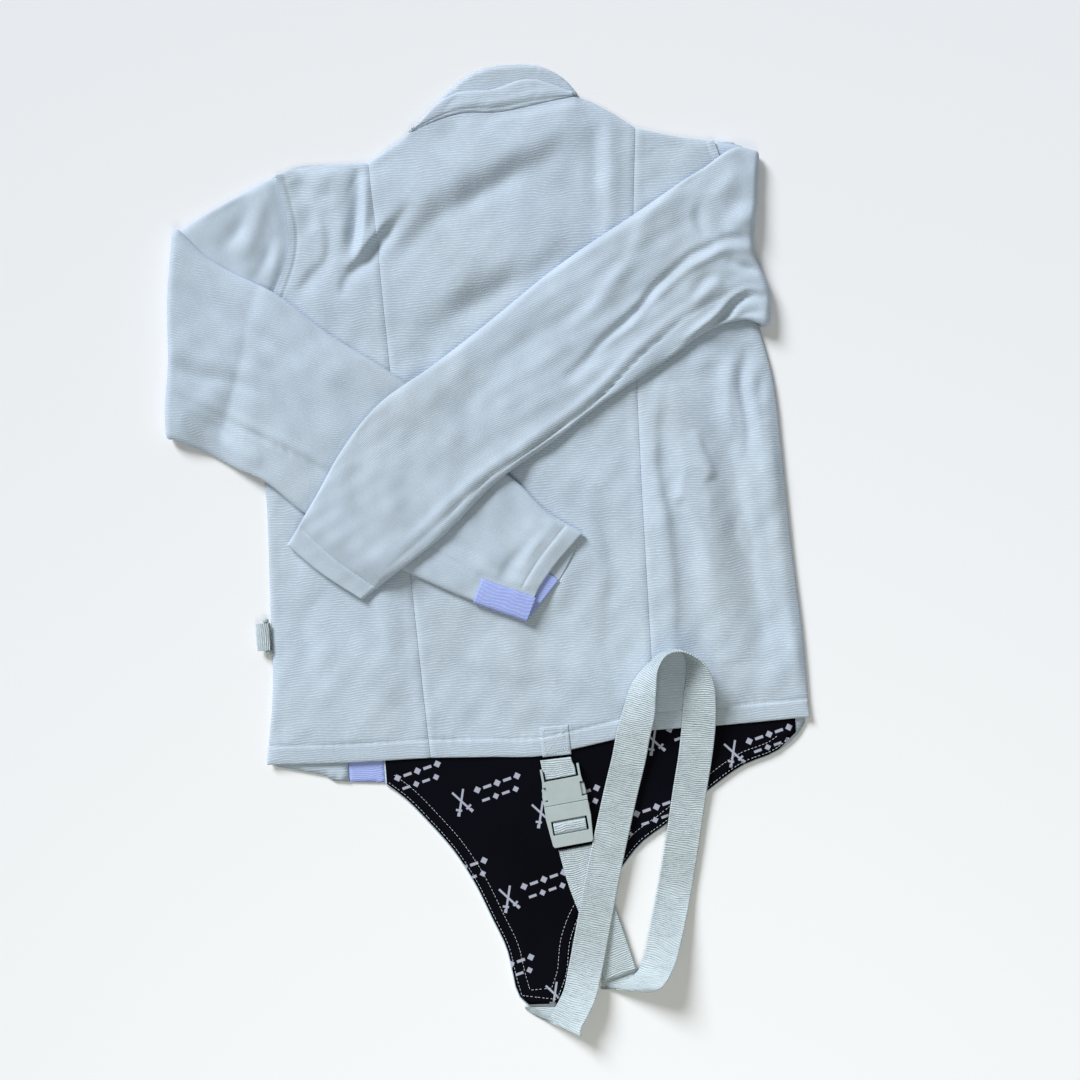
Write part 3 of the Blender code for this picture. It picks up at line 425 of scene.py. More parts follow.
elastic_top = ZIP_BOTTOM[1] - 2.0
flap_left = list(map(tuple, smooth_curve(FLAP_LEFT, np.linspace(0, 1, 24))))
flap_right = list(map(tuple, smooth_curve(FLAP_RIGHT, np.linspace(0, 1, 32))))
front_right_top = [(229, 354), (200, 360), (161, 371), (136, 389)]
front_neck = list(map(tuple, smooth_curve(FRONT_NECK, np.linspace(0.06, 1, 12))))
front_edge = ELASTIC_X[1] + SEAM
front_main_outline = (flap_left[1:] + flap_right + front_side_right[1:-1] + front_right_top + front_neck[:-1]
                      + [(zip_right[1][0], zip_right[1][1] - 1), zip_right[0],
                         (zip_right[0][0], elastic_top + SEAM), (front_edge, elastic_top + SEAM),
                         (front_edge, flap_left[0][1])])
front_main = flat_piece("front_main_cloth", front_main_outline, 6.0, front_underside, canvas,
                        ["front_main"], FRONT_CLOTH, up=-1)

# ---------------------------------------------------------------- stretch insert and zip of the front
# Beside the foot of the zip a panel of ribbed lilac elastic lets the hem give.  The zip itself is
# a covered one with moulded teeth, sewn in from the hem to the collar at the wearer's left.
ELASTIC_COLOUR = (0.375, 0.455, 0.87, 1)
ELASTIC_SHADE = (0.32, 0.39, 0.80, 1)
elastic = woven_finish("lilac elastic", ELASTIC_COLOUR, ELASTIC_SHADE, 0.004, 0.0018, 0.22, 0.5, 0.0003, 0.8,
                       0.25)[0]
front_elastic_outline = [(ELASTIC_X[0], FRONT_LEFT_HEM[-1][1]), (ELASTIC_X[1], ELASTIC_BOTTOM),
                         (ELASTIC_X[1], elastic_top), (ELASTIC_X[0], elastic_top)]
front_elastic = flat_piece("front_elastic_cloth", front_elastic_outline, 3.0,
                           lambda p: 1.5 + unevenness(p, 5, 14, 0.05),
                           elastic, ["front_elastic"], 1.4)

zip_finish, zip_tree, zip_shader = new_material("moulded zip", 0.45, 0.4)
zip_grain = add_node(zip_tree, "TexNoise", {"Vector": add_node(zip_tree, "TexCoord").outputs["Object"],
                                            "Scale": 900.0, "Detail": 2.0})
zip_tone = add_node(zip_tree, "ValToRGB", {"Fac": zip_grain.outputs[0]})
zip_tone.color_ramp.elements[0].color = (0.60, 0.64, 0.67, 1)
zip_tone.color_ramp.elements[1].color = (0.72, 0.76, 0.79, 1)
put(zip_shader.inputs["Base Color"], zip_tone.outputs[0])
put(zip_shader.inputs["Normal"], add_node(zip_tree, "Bump", {"Strength": 0.4, "Distance": 0.0003,
                                                            "Height": zip_grain.outputs[0]}).outputs[0])
front_zip = flat_piece("zip_tape", zip_side(-1) + zip_side(1)[::-1], 3.0, lambda p: np.full(len(p), 0.9),
                       zip_finish, ["front_zip"], 0.8, up=-1)


def repeated(template, faces, places, ahead, across):
    """Copies of a small closed mesh: each point is place + x ahead + y across + z up, in mm."""
    up = np.cross(ahead, across)
    points = (places[:, None] + template[None, :, :1] * ahead[:, None]
              + template[None, :, 1:2] * across[:, None] + template[None, :, 2:] * up[:, None])
    count = len(template)
    shift = np.arange(len(places))[:, None, None] * count
    return points.reshape(-1, 3), (faces[None] + shift).reshape(-1, faces.shape[1])


def block(x, y, z):
    """Points and outward faces of a box with those half sizes."""
    corners = np.array([(i, j, k) for k in (-1, 1) for j in (-1, 1) for i in (-1, 1)], dtype=float)
    faces = np.array([(0, 2, 3, 1), (4, 5, 7, 6), (0, 1, 5, 4), (1, 3, 7, 5), (3, 2, 6, 7), (2, 0, 4, 6)])
    return corners * (x, y, z), faces


def directions(path):
    """Unit vectors along a 3-D path, and level ones across it."""
    ahead = np.gradient(path, axis=0)
    ahead /= np.linalg.norm(ahead, axis=1)[:, None]
    across = np.cross([0.0, 0.0, 1.0], ahead)
    return ahead, across / np.linalg.norm(across, axis=1)[:, None]


TOOTH_PITCH = 2.6
tooth_points, tooth_faces = block(0.75, 1.6, 0.32)
tooth_rows = []
for side in (-1, 1):
    ends = np.array(zip_side(side, 1.3))
    count = int(np.linalg.norm(ends[1] - ends[0]) / TOOTH_PITCH)
    share = (np.arange(count)[:, None] + 0.25 * (side + 1)) / count
    spots = np.column_stack([ends[0] + (ends[1] - ends[0]) * share, np.full(count, 0.5)])
    tooth_rows.append(repeated(tooth_points, tooth_faces, spots, *directions(spots)))
teeth_points = np.concatenate([points for points, faces in tooth_rows])
teeth_faces = np.concatenate([tooth_rows[0][1], tooth_rows[1][1] + len(tooth_rows[0][0])])
zip_teeth = finish_piece("zip_teeth", teeth_points, teeth_faces, teeth_points[teeth_faces.ravel(), :2],
                         zip_finish, [])
zip_teeth.data.shade_flat()

# ---------------------------------------------------------------- lining of the crotch flap
# The flap is faced with near-black satin, printed with a pale repeat of crossed foils beside two
# rows of lozenges.  The lining's edge is turned under and held by two rows of white stitching.
LINING_TOP_Z = 3.3
LINING_CLOTH = 0.8
LINING_END = -160
LINING_TRIM = 0.8
PRINT_START = (-14.0, -217.0)      # middle of one motif
PRINT_STEPS = ((71.1, -15.8), (35.0, 74.2))
PRINT_TURN = math.radians(15.5)
# One bar of the printed motif in each row: middle, turn in degrees, half length, half width.
PRINT_BARS = [
    ((-25, 0.5), 62, 11.0, 0.75), ((-25, 0.5), 118, 11.0, 0.75),
    ((-29.6, -6.6), -28, 2.6, 0.8), ((-20.4, -6.6), 28, 2.6, 0.8),
    ((-31.0, -10.2), 62, 1.5, 1.2), ((-19.0, -10.2), 118, 1.5, 1.2),
    ((-8, 5.2), 45, 2.3, 2.3), ((1.5, 5.2), 0, 3.6, 1.1), ((11, 5.2), 45, 2.3, 2.3),
    ((20.5, 5.2), 0, 3.6, 1.1), ((30, 5.2), 45, 2.3, 2.3), ((-3.5, -5.6), 0, 3.4, 1.0),
    ((6, -5.6), 45, 2.0, 2.0), ((15.5, -5.6), 0, 3.4, 1.0), ((25, -5.6), 45, 2.0, 2.0),
]


def printed_bar_group():
    """Node group for one bar of a print: 1 inside a turned rectangle and 0 outside, with a thin soft edge."""
    group = bpy.data.node_groups.new("printed bar", "ShaderNodeTree")
    for name in ("Place", "Middle", "Turn", "Half Size"):
        group.interface.new_socket(name, in_out="INPUT", socket_type="NodeSocketVector")
    group.interface.new_socket("Mask", in_out="OUTPUT", socket_type="NodeSocketFloat")
    given = group.nodes.new("NodeGroupInput").outputs
    moved = add_node(group, "VectorMath", {0: given["Place"], 1: given["Middle"]}, operation="SUBTRACT")
    turned = add_node(group, "VectorRotate", {"Vector": moved.outputs[0], "Rotation": given["Turn"]},
                      rotation_type="EULER_XYZ", invert=True)
    folded = add_node(group, "VectorMath", {0: turned.outputs[0]}, operation="ABSOLUTE")
    beyond = add_node(group, "VectorMath", {0: folded.outputs[0], 1: given["Half Size"]},
                      operation="SUBTRACT")
    outside = add_node(group, "VectorMath", {0: beyond.outputs[0], 1: (0.0, 0.0, 0.0)}, operation="MAXIMUM")
    gap = add_node(group, "VectorMath", {0: outside.outputs[0]}, operation="LENGTH")
    mask = add_node(group, "MapRange", {"Value": gap.outputs["Value"], "From Min": 0.0, "From Max": 0.35,
                                        "To Min": 1.0, "To Max": 0.0})
    put(group.nodes.new("NodeGroupOutput").inputs["Mask"], mask.outputs[0])
    return group


def print_mask(tree, place):
    """Mask of the repeat.  The place on the cloth is written as steps of the repeat, the nearest
    motif's own place is taken off, and what is left is turned upright and tested against each bar."""
    (ax, ay), (bx, by) = PRINT_STEPS
    size = ax * by - ay * bx
    start = add_node(tree, "VectorMath", {0: place, 1: (PRINT_START[0], PRINT_START[1], 0)},
                     operation="SUBTRACT")
    steps = []
    for row in ((by / size, -bx / size, 0), (-ay / size, ax / size, 0)):
        count = add_node(tree, "VectorMath", {0: start.outputs[0], 1: row},
                         operation="DOT_PRODUCT").outputs["Value"]
        steps.append(add_node(tree, "Math", {0: count}, operation="ROUND").outputs[0])
    left = start.outputs[0]
    for count, step in zip(steps, PRINT_STEPS):
        scaled = add_node(tree, "VectorMath", {0: (*step, 0), "Scale": count}, operation="SCALE")
        left = add_node(tree, "VectorMath", {0: left, 1: scaled.outputs[0]}, operation="SUBTRACT").outputs[0]
    upright = add_node(tree, "VectorRotate", {"Vector": left, "Angle": -PRINT_TURN}, rotation_type="Z_AXIS")
    bar_group = printed_bar_group()
    total = None
    for middle, turn, half_length, half_width in PRINT_BARS:
        bar = add_node(tree, "Group", node_tree=bar_group)
        put(bar.inputs["Place"], upright.outputs[0])
        put(bar.inputs["Middle"], (*middle, 0))
        put(bar.inputs["Turn"], (0, 0, math.radians(turn)))
        put(bar.inputs["Half Size"], (half_length, half_width, 10))
        mask = bar.outputs["Mask"]
        total = mask if total is None else add_node(tree, "Math", {0: total, 1: mask},
                                                    operation="MAXIMUM").outputs[0]
    return total


lining_finish, lining_tree, lining_weave = woven_finish(
    "printed satin", (0.0026, 0.0027, 0.0062, 1), (0.0012, 0.0012, 0.0022, 1), 0.004, 0.0016, 0.4, 0.6,
    0.00008, 0.65, 0.0, 0.035)
lining_shader = lining_tree.nodes["Principled BSDF"]
lining_cloth = add_node(lining_tree, "UVMap", uv_map="cloth")
lining_place = add_node(lining_tree, "VectorMath", {0: lining_cloth.outputs[0], "Scale": 1000.0},
                        operation="SCALE")
lining_print = add_node(lining_tree, "Mix", {0: print_mask(lining_tree, lining_place.outputs[0]),
                                             6: lining_weave.outputs["Colour"], 7: (0.41, 0.43, 0.54, 1)},
                        data_type="RGBA")
put(lining_shader.inputs["Base Color"], lining_print.outputs[2])
# Height, widths and path of the lining's soft folds.
LINING_FOLDS = [
    (0.9, 7, 12, [(-62, -212), (-20, -258), (8, -320), (20, -392)]),
    (-0.6, 6, 6, [(88, -200), (58, -262), (46, -330), (34, -400)]),
    (0.8, 9, 6, [(232, -196), (170, -222), (118, -262), (84, -300)]),
    (0.6, 6, 9, [(150, -186), (128, -220), (96, -250)]),
    (-0.5, 8, 5, [(-30, -196), (6, -230), (30, -300)]),
]


def lining_height(spots):
    """Upper face of the lining: nearly flat, with soft folds that fade at its edge."""
    inside = smoothstep(depth_inside(lining_outline, spots) / 14.0)
    rise = np.clip(creases(LINING_FOLDS, spots) + unevenness(spots, 11, 40, 0.22), -0.2, 1.2)
    return LINING_TOP_Z + rise * inside * smoothstep((-178 - spots[..., 1]) / 12.0)


lining_outline = ([(x + LINING_TRIM, y + LINING_TRIM) for x, y in flap_left[:-1]] + [(10, -411), (36, -412)]
                  + [(x - LINING_TRIM, y + LINING_TRIM) for x, y in flap_right[1:-3]]
                  + [(268, -182), (268, LINING_END), (ELASTIC_X[1] + 1.5, LINING_END)])
flap_lining = flat_piece("flap_lining_cloth", lining_outline, 5.0, lining_height, lining_finish,
                         ["flap_lining"], LINING_CLOTH)

thread_finish, thread_tree, thread_shader = new_material("white thread", 0.6, 0.35, 0.3)
thread_place = add_node(thread_tree, "TexCoord").outputs["Object"]
thread_twist = add_node(thread_tree, "TexNoise", {"Vector": thread_place, "Scale": 2600.0, "Detail": 1.0})
thread_tone = add_node(thread_tree, "ValToRGB", {"Fac": thread_twist.outputs[0]})
thread_tone.color_ramp.elements[0].color = (0.60, 0.66, 0.76, 1)
thread_tone.color_ramp.elements[1].color = (0.76, 0.80, 0.86, 1)
put(thread_shader.inputs["Base Color"], thread_tone.outputs[0])


def stitch_shape(length, thick):
    """One stitch: five rings of six points, thinner and lower towards both ends."""
    along = np.array([-1.0, -0.8, 0.0, 0.8, 1.0]) * length / 2
    size = np.array([0.35, 0.85, 1.0, 0.85, 0.35]) * thick / 2
    turn = np.arange(6) * np.pi / 3
    drop = np.abs(along) / length * thick * 0.5
    rings = np.stack([np.broadcast_to(along[:, None], (5, 6)), size[:, None] * np.cos(turn)[None],
                      size[:, None] * np.sin(turn)[None] - drop[:, None]], axis=-1)
    i, j = np.meshgrid(np.arange(4), np.arange(6), indexing="ij")
    k = (j + 1) % 6
    sides = np.stack([i * 6 + j, (i + 1) * 6 + j, (i + 1) * 6 + k, i * 6 + k], axis=-1).reshape(-1, 4)
    caps = np.array([(0, 1, 2, 3), (0, 3, 4, 5), (27, 26, 25, 24), (29, 28, 27, 24)])
    return rings.reshape(-1, 3), np.concatenate([sides[:, ::-1], caps[:, ::-1]])


def stitch_rows(name, rows, height, pitch=3.2, length=2.3, thick=0.55, lift=0.12, uneven=0.12):
    """Rows of stitches on a surface: each row is a plan path in mm, and height(plan) the surface
    there.  Their places along the row and their directions wander a little."""
    template, faces = stitch_shape(length, thick)
    random = np.random.default_rng(len(name))
    made, first = [], 0
    for row in rows:
        row = np.asarray(row, dtype=float)
        steps = np.concatenate([[0], np.cumsum(np.linalg.norm(np.diff(row, axis=0), axis=1))])
        count = max(2, int(steps[-1] / pitch))
        at = (np.arange(count) + 0.5 + random.uniform(-uneven, uneven, count)) * steps[-1] / count
        ends = [np.column_stack([np.interp(at + shift, steps, row[:, k]) for k in range(2)])
                for shift in (-1, 1)]
        ends = [np.column_stack([end, height(end)]) for end in ends]
        ahead = ends[1] - ends[0]
        ahead += random.uniform(-0.12, 0.12, ahead.shape) * (1, 1, 0)
        ahead /= np.linalg.norm(ahead, axis=1)[:, None]
        across = np.cross([0.0, 0.0, 1.0], ahead)
        across /= np.linalg.norm(across, axis=1)[:, None]
        places = (ends[0] + ends[1]) / 2 + (0, 0, lift)
        points, quads = repeated(template, faces, places, ahead, across)
        made.append((points, quads + first))
        first += len(points)
    points = np.concatenate([part[0] for part in made])
    quads = np.concatenate([part[1] for part in made])
    return finish_piece(name, points, quads, points[quads.ravel(), :2], thread_finish, [])


def inner_row(outline, distance):
    """The same open path moved to its left by a distance."""
    path = smooth_curve(outline, np.linspace(0, 1, 90))
    ahead = np.gradient(path, axis=0)
    ahead /= np.linalg.norm(ahead, axis=1)[:, None]
    return path + np.column_stack([-ahead[:, 1], ahead[:, 0]]) * distance


lining_rows = []
for distance in (3.2, 11.6):
    left_row, right_row = inner_row(FLAP_LEFT[:-1], distance), inner_row(FLAP_RIGHT[:-1], distance)
    left_row = left_row[left_row[:, 1] > -413 + distance * 1.2]
    right_row = right_row[(right_row[:, 1] > -413 + distance * 1.2) & (right_row[:, 1] < -184)]
    tip_row = np.array([left_row[-1], right_row[0]])
    lining_rows += [left_row[left_row[:, 1] < -200 + distance], tip_row, right_row]
stitch_rows("lining_stitches", lining_rows, lining_height, 3.4, 2.2, 0.42, 0.05)

# ---------------------------------------------------------------- the back
# Three panels of the same cloth, joined by two long pressed seams.  The hem is turned up and
# stitched 16 mm above its edge, the armholes have a felled band, and the sides roll to the front.
BACK_TOP_Z = 5.9
BACK_LOFT = 2.0
BACK_WALL = 1.7
HEM_LEFT = [(-211, -178), (-139, -181), (-63, -182)]
HEM_CENTRE = [(-63, -182), (-9, -185), (40, -187), (67, -183), (140, -171)]
HEM_RIGHT = [(140, -171), (193, -171), (281, -169)]
SHOULDER_LEFT = [(-166, 352), (-155, 357), (-116, 359), (-82, 358)]
NECK_AND_SHOULDERS = [(-82, 358), (-44, 381), (-21, 390), (4, 396), (40, 395), (77, 400), (109, 404),
                      (136, 391), (161, 373)]
SHOULDER_RIGHT = [(161, 373), (200, 362), (231, 356)]
HEM_BAND = 16.5
PRESSED = 0.12      # gap between panels at a pressed seam
ROLL = 7.0          # how wide the roll along the sides is
ROLL_DROP = 2.6     # and how far it turns down
# Height, width on the left, width on the right, and path of each crease of the back.
BACK_CREASES = [
    (-2.6, 4, 6, [(-92, 356), (-93, 329), (-96, 310), (-100, 290), (-103, 270)]),
    (2.0, 5, 3, [(-86, 345), (-87, 316), (-91, 290), (-95, 272)]),
    (-2.8, 7, 4, [(-46, 318), (-62, 300), (-79, 284), (-90, 270), (-102, 262), (-110, 252), (-114, 238)]),
    (2.6, 3, 8, [(-66, 308), (-84, 288), (-98, 274), (-110, 264)]),
    (-2.2, 8, 5, [(-126, 318), (-121, 287), (-125, 273), (-140, 259), (-154, 243)]),
    (2.2, 14, 12, [(-138, 338), (-116, 346), (-98, 338)]),
    (1.8, 10, 14, [(-116, 330), (-110, 296), (-112, 262)]),
    (-1.8, 6, 8, [(-150, 346), (-140, 322), (-134, 300)]),
    (3.6, 16, 30, [(118, 388), (78, 372), (40, 357), (0, 341), (-36, 322), (-70, 290)]),
    (-2.2, 11, 9, [(92, 356), (54, 340), (18, 323), (-26, 300), (-66, 268)]),
    (3.2, 18, 28, [(110, 292), (66, 274), (22, 258), (-24, 236), (-68, 204)]),
    (-2.0, 12, 10, [(84, 256), (40, 238), (0, 221), (-40, 196)]),
    (1.8, 9, 5, [(137, 388), (136, 349), (133, 305), (128, 270)]),
    (-1.8, 5, 8, [(124, 378), (123, 340), (119, 300)]),
    (-1.3, 12, 9, [(172, 352), (184, 330), (206, 312)]),
    (2.4, 9, 2.5, [(172, 32), (190, 47), (210, 58)]),
    (1.7, 3, 8, [(194, 96), (203, 72), (211, 52)]),
    (2.6, 16, 9, [(250, 178), (255, 119), (259, 50), (264, -8), (270, -80), (276, -140)]),
    (-3.2, 9, 18, [(216, 156), (224, 90), (232, 20), (240, -60), (246, -124)]),
    (4.2, 26, 11, [(180, 140), (184, 84), (196, 10), (206, -50), (214, -116)]),
    (2.7, 6, 13, [(168, 150), (158, 100), (156, 63), (162, 21), (165, -37), (160, -112)]),
    (-1.5, 8, 16, [(186, 20), (184, -40), (190, -110)]),
    (-1.6, 14, 8, [(100, 50), (114, -20), (104, -90), (112, -140)]),
    (1.6, 14, 20, [(0, -70), (40, -100), (70, -112), (116, -100)]),
    (-1.4, 10, 16, [(-50, -96), (0, -118), (50, -130)]),
    (1.5, 18, 12, [(-156, -36), (-120, -80), (-86, -132)]),
    (-1.3, 12, 14, [(-184, -10), (-168, -80), (-178, -146)]),
    (1.4, 14, 10, [(-110, 10), (-96, -50), (-88, -100)]),
    (-2.0, 5, 4, [(249, 172), (240, 134), (244, 96), (238, 64)]),
    (1.8, 5, 8, [(233, 160), (226, 120), (229, 84)]),
    (-1.5, 7, 5, [(262, 150), (256, 124), (259, 100)]),
    (1.4, 9, 12, [(90, -6), (66, -30), (60, -60)]),
]
LEFT_ARM = {
    "fold": [(-281, 121), (-280, 148), (-275, 182), (-271, 246), (-262, 309)],
    "upper_arm_low": [(-187, 218), (-233, 171), (-281, 121)],
    "upper_arm_high": [(-166, 352), (-224, 326), (-262, 309)],
    "forearm_low": [(-281, 121), (-246, 107), (-220, 91), (-197, 79), (-164, 49), (-122, 15), (-78, -10),
                    (-17, -42), (24, -60), (33, -64)],
    "forearm_high": [(-262, 309), (-234, 284), (-169, 242), (-127, 205), (-66, 160), (-8, 97), (35, 58),
                     (58, 32), (88, 11)],
    "cuff": [(33, -64), (41, -43), (57, -21), (88, 11)],
    "cuff_under": [(33, -64), (47, -49), (64, -29), (88, 11)],
    "outward": (-1, 0),
}
RIGHT_ARM = {
    "fold": [(269, 186), (270, 217), (259, 250), (265, 299), (271, 344)],
    "upper_arm_low": [(255, 209), (262, 197), (269, 186)],
    "upper_arm_high": [(231, 356), (254, 351), (271, 344)],
    "forearm_low": [(269, 186), (247, 192), (231, 190), (168, 157), (112, 125), (69, 96), (17, 64),
                    (-41, 14), (-78, -11), (-114, -35)],
    "forearm_high": [(271, 344), (258, 347), (216, 329), (160, 297), (84, 253), (8, 200), (-48, 163),
                     (-86, 139), (-125, 96), (-147, 62), (-165, 36), (-178, 19)],
    "cuff": [(-114, -35), (-150, -8), (-178, 19)],
    "cuff_under": [(-114, -35), (-150, -8), (-178, 19)],
    "outward": (1, 0),
}


def arm_outline(arm):
    """Plan outline of a folded forearm."""
    count = np.linspace(0, 1, 30)
    low, high = smooth_curve(arm["forearm_low"], count), smooth_curve(arm["forearm_high"], count)
    return np.concatenate([low, high[::-1]])


def fine(points, count=60):
    """Many points along a smooth curve."""
    return smooth_curve(points, np.linspace(0, 1, count))


SIDE_LEFT, SIDE_RIGHT = fine(body_column(0), 24), fine(body_column(3), 24)
BODY_OUTLINE = np.concatenate([HEM_LEFT[:-1], HEM_CENTRE[:-1], HEM_RIGHT[:-1], SIDE_RIGHT[:-1],
                               (SHOULDER_LEFT[:-1] + NECK_AND_SHOULDERS[:-1] + SHOULDER_RIGHT)[::-1],
                               SIDE_LEFT[1:-1][::-1]])
HEM_LINE = np.concatenate([fine(HEM_LEFT, 24), fine(HEM_CENTRE, 30)[1:], fine(HEM_RIGHT, 24)[1:]])
LONG_SEAMS = [fine(body_column(1)), fine(body_column(2))]
LEFT_ARMHOLE = fine(body_column(0)[UNDERARM_ROW:], 24)
RIGHT_ARMHOLE = fine(body_column(3)[UNDERARM_ROW:], 24)
NECKLINE = fine(NECK_AND_SHOULDERS[1:7], 30)


def back_height(spots):
    """Upper face of the back: a level that lifts away from the edges, the creases, a groove with a
    swell on either side at each long seam, the stitched hem and the felled bands, and a quarter
    circle that turns down along the outer edges."""
    edge = depth_inside(BODY_OUTLINE, spots)
    hem = np.abs(nearest_on(HEM_LINE, spots)[0])
    z = BACK_TOP_Z + BACK_LOFT * smoothstep(edge / 45.0)
    covered = np.maximum(smoothstep(depth_inside(arm_outline(LEFT_ARM), spots) / 6 + 1),
                         smoothstep(depth_inside(arm_outline(RIGHT_ARM), spots) / 6 + 1))
    folds = 1.35 * creases(BACK_CREASES, spots)
    folds = folds + unevenness(spots, 3, 70, 0.75) + unevenness(spots, 4, 26, 0.3)
    folds = np.where(folds > 0, folds * (1 - 0.72 * covered), folds)
    z += np.clip(folds, -3.8, 5.2) * smoothstep(edge / 10.0) * smoothstep((hem - HEM_BAND + 3) / 8.0)
    for path in LONG_SEAMS:
        gap = np.abs(nearest_on(path, spots)[0])
        z += 0.3 * np.exp(-((gap - 5.5) / 3.0) ** 2) - 0.6 * np.exp(-(gap / 1.5) ** 2)
    along = spots[..., 0]
    pucker = np.sin(along * 0.83 + 2 * np.sin(along * 0.071)) * (0.6 + 0.4 * np.sin(along * 0.113))
    z += 0.45 * smoothstep((HEM_BAND - hem) / 2.0) - 0.6 * np.exp(-((hem - HEM_BAND) / 1.1) ** 2)
    z += 0.36 * pucker * np.exp(-((hem - HEM_BAND) / 6.0) ** 2)
    joined = np.abs(nearest_on(NECKLINE, spots)[0])
    for path in (LEFT_ARMHOLE, RIGHT_ARMHOLE):
        gap = np.abs(nearest_on(path, spots)[0])
        joined = np.minimum(joined, gap)
        z += 0.6 * smoothstep((6.6 - gap) / 1.4) - 0.5 * np.exp(-((gap - 7.2) / 0.9) ** 2)
    roll = np.clip(np.minimum(edge, hem * 1.7) / ROLL, 0, 1)
    upright = smoothstep((hem - 1.0) / 10.0)
    free = smoothstep((joined - edge) / 6.0)
    return z - ROLL_DROP * free * (1 - np.sqrt(1 - (1 - roll) ** 2)) * (0.45 + 0.55 * upright)


def coons(low, high, start, end, u, v):
    """Grid over four edge curves: u runs along low and high, v along start and end."""
    low, high = smooth_curve(low, u)[:, None], smooth_curve(high, u)[:, None]
    start, end = smooth_curve(start, v)[None], smooth_curve(end, v)[None]
    u, v = u[:, None, None], v[None, :, None]
    corners = ((1 - u) * (1 - v) * low[:1] + u * (1 - v) * low[-1:]
               + (1 - u) * v * high[:1] + u * v * high[-1:])
    return (1 - v) * low + v * high + (1 - u) * start + u * end - corners


def grid_quads(rows, columns, wraps=False):
    """Row and column of each quad's corners in a grid; the last column joins the first if it wraps."""
    i, j = np.meshgrid(np.arange(rows - 1), np.arange(columns - (0 if wraps else 1)), indexing="ij")
    row = np.stack([i, i, i + 1, i + 1], axis=-1).reshape(-1, 4)
    column = np.stack([j, j + 1, j + 1, j], axis=-1).reshape(-1, 4)
    return row, column


def grid_piece(name, points, cloth_map, material, nodes, wall, wraps=False, up=1):
    """Piece from a grid of points; cloth_map has one more column than the grid if it wraps."""
    rows, columns = points.shape[:2]
    row, column = grid_quads(rows, columns, wraps)
    faces = row * columns + column % columns
    corners = cloth_map[row, column]
    if up < 0:
        faces, corners = faces[:, ::-1], corners[:, ::-1]
    return finish_piece(name, points.reshape(-1, 3), faces, corners.reshape(-1, 2),
                        material, nodes, wall)


def edged(count, width, edge=(0.0, 0.5, 1.4, 2.8, 4.6, 7.0)):
    """Shares across a piece: close together along both edges, where it rolls or has a seam."""
    edge = np.array(edge) / width
    return np.concatenate([edge, np.linspace(edge[-1], 1 - edge[-1], count)[1:-1], 1 - edge[::-1]])


panels = [("back_left", 0, 1, HEM_LEFT, SHOULDER_LEFT, 46, 130),
          ("back_centre", 1, 2, HEM_CENTRE, NECK_AND_SHOULDERS, 74, 220),
          ("back_right", 2, 3, HEM_RIGHT, SHOULDER_RIGHT, 44, 120)]
for node, first, second, hem, top, columns, width in panels:
    start, end = shifted(body_column(first), PRESSED / 2), shifted(body_column(second), -PRESSED / 2)
    hem, top = list(hem), list(top)
    hem[0], hem[-1], top[0], top[-1] = start[0], end[0], start[-1], end[-1]
    rows = edged(184, 555.0, (0.0, 0.5, 1.4, 2.8, 4.6, 7.0, 9.5, 12, 14, 15.4, 16.5, 17.6, 19))
    plan = coons(start, end, hem, top, rows, edged(columns, width))
    panel = grid_piece(node + "_cloth", np.dstack([plan, back_height(plan)]), plan, canvas, [node],
                       BACK_WALL)
hem_row = HEM_LINE + (0.0, HEM_BAND)
stitch_rows("hem_stitches", [hem_row[3:-3]], back_height, 3.4, 2.4, 0.5, 0.05)

# ---------------------------------------------------------------- the collar
# A padded stand-up collar, laid flat: its back half is folded down over the front half, whose
# edge shows beyond it.  It is sewn to the neck with a row of stitching just above the seam.
COLLAR_SEAM = [(-43, 382.5), (-21, 391), (4, 397), (40, 396), (77, 401), (107, 405.5)]
COLLAR_TOP = [(-31, 392), (-17, 406), (-1, 415), (35, 417), (67, 424), (108, 409)]
COLLAR_EDGE = [(-34, 391), (-21, 403), (-11, 413), (2, 424), (18, 433), (52, 438), (83, 433), (101, 421),
               (111, 408)]
COLLAR_CREASES = [
    (0.8, 3, 4, [(-22, 396), (8, 404), (40, 404), (72, 409), (98, 410)]),
    (-0.5, 2, 3, [(-12, 398), (-2, 408), (6, 413)]),
    (-0.5, 3, 2, [(70, 404), (76, 412), (72, 420)]),
]


def collar_back_height(spots, v):
    """A padded roll that is low at the seam and rounds over at its free edge."""
    ridge = 5.6 + 1.6 * np.sin(np.pi * np.clip(v * 1.05, 0, 1)) ** 0.5
    drop = 1.8 * (1 - np.sqrt(1 - np.clip((v - 0.86) / 0.14, 0, 1) ** 2))
    groove = 0.5 * np.exp(-((v - 0.16) / 0.04) ** 2)
    return ridge - drop - groove + creases(COLLAR_CREASES, spots) + unevenness(spots, 8, 22, 0.15)


collar_u, collar_v = np.linspace(0, 1, 72), np.linspace(0, 1, 26)
collar_plan = coons(COLLAR_SEAM, COLLAR_TOP, [COLLAR_SEAM[0], COLLAR_TOP[0]],
                    [COLLAR_SEAM[-1], COLLAR_TOP[-1]], collar_u, collar_v)
collar_plan[:, :, 1] -= 0.5 * (1 - collar_v)[None]
collar_z = collar_back_height(collar_plan, collar_v[None])
collar_back = grid_piece("collar_back_cloth", np.dstack([collar_plan, collar_z]), collar_plan, canvas,
                         ["collar_back"], 2.0, up=-1)


def collar_front_height(spots):
    """Upper face of the front half, rounded at its outer edge."""
    edge = np.abs(nearest_on(fine(COLLAR_EDGE), spots)[0])
    roll = np.clip(edge / 3.0, 0, 1)
    return 2.8 - 1.4 * (1 - np.sqrt(1 - (1 - roll) ** 2)) - 0.4 * np.exp(-((edge - 7.0) / 0.8) ** 2)


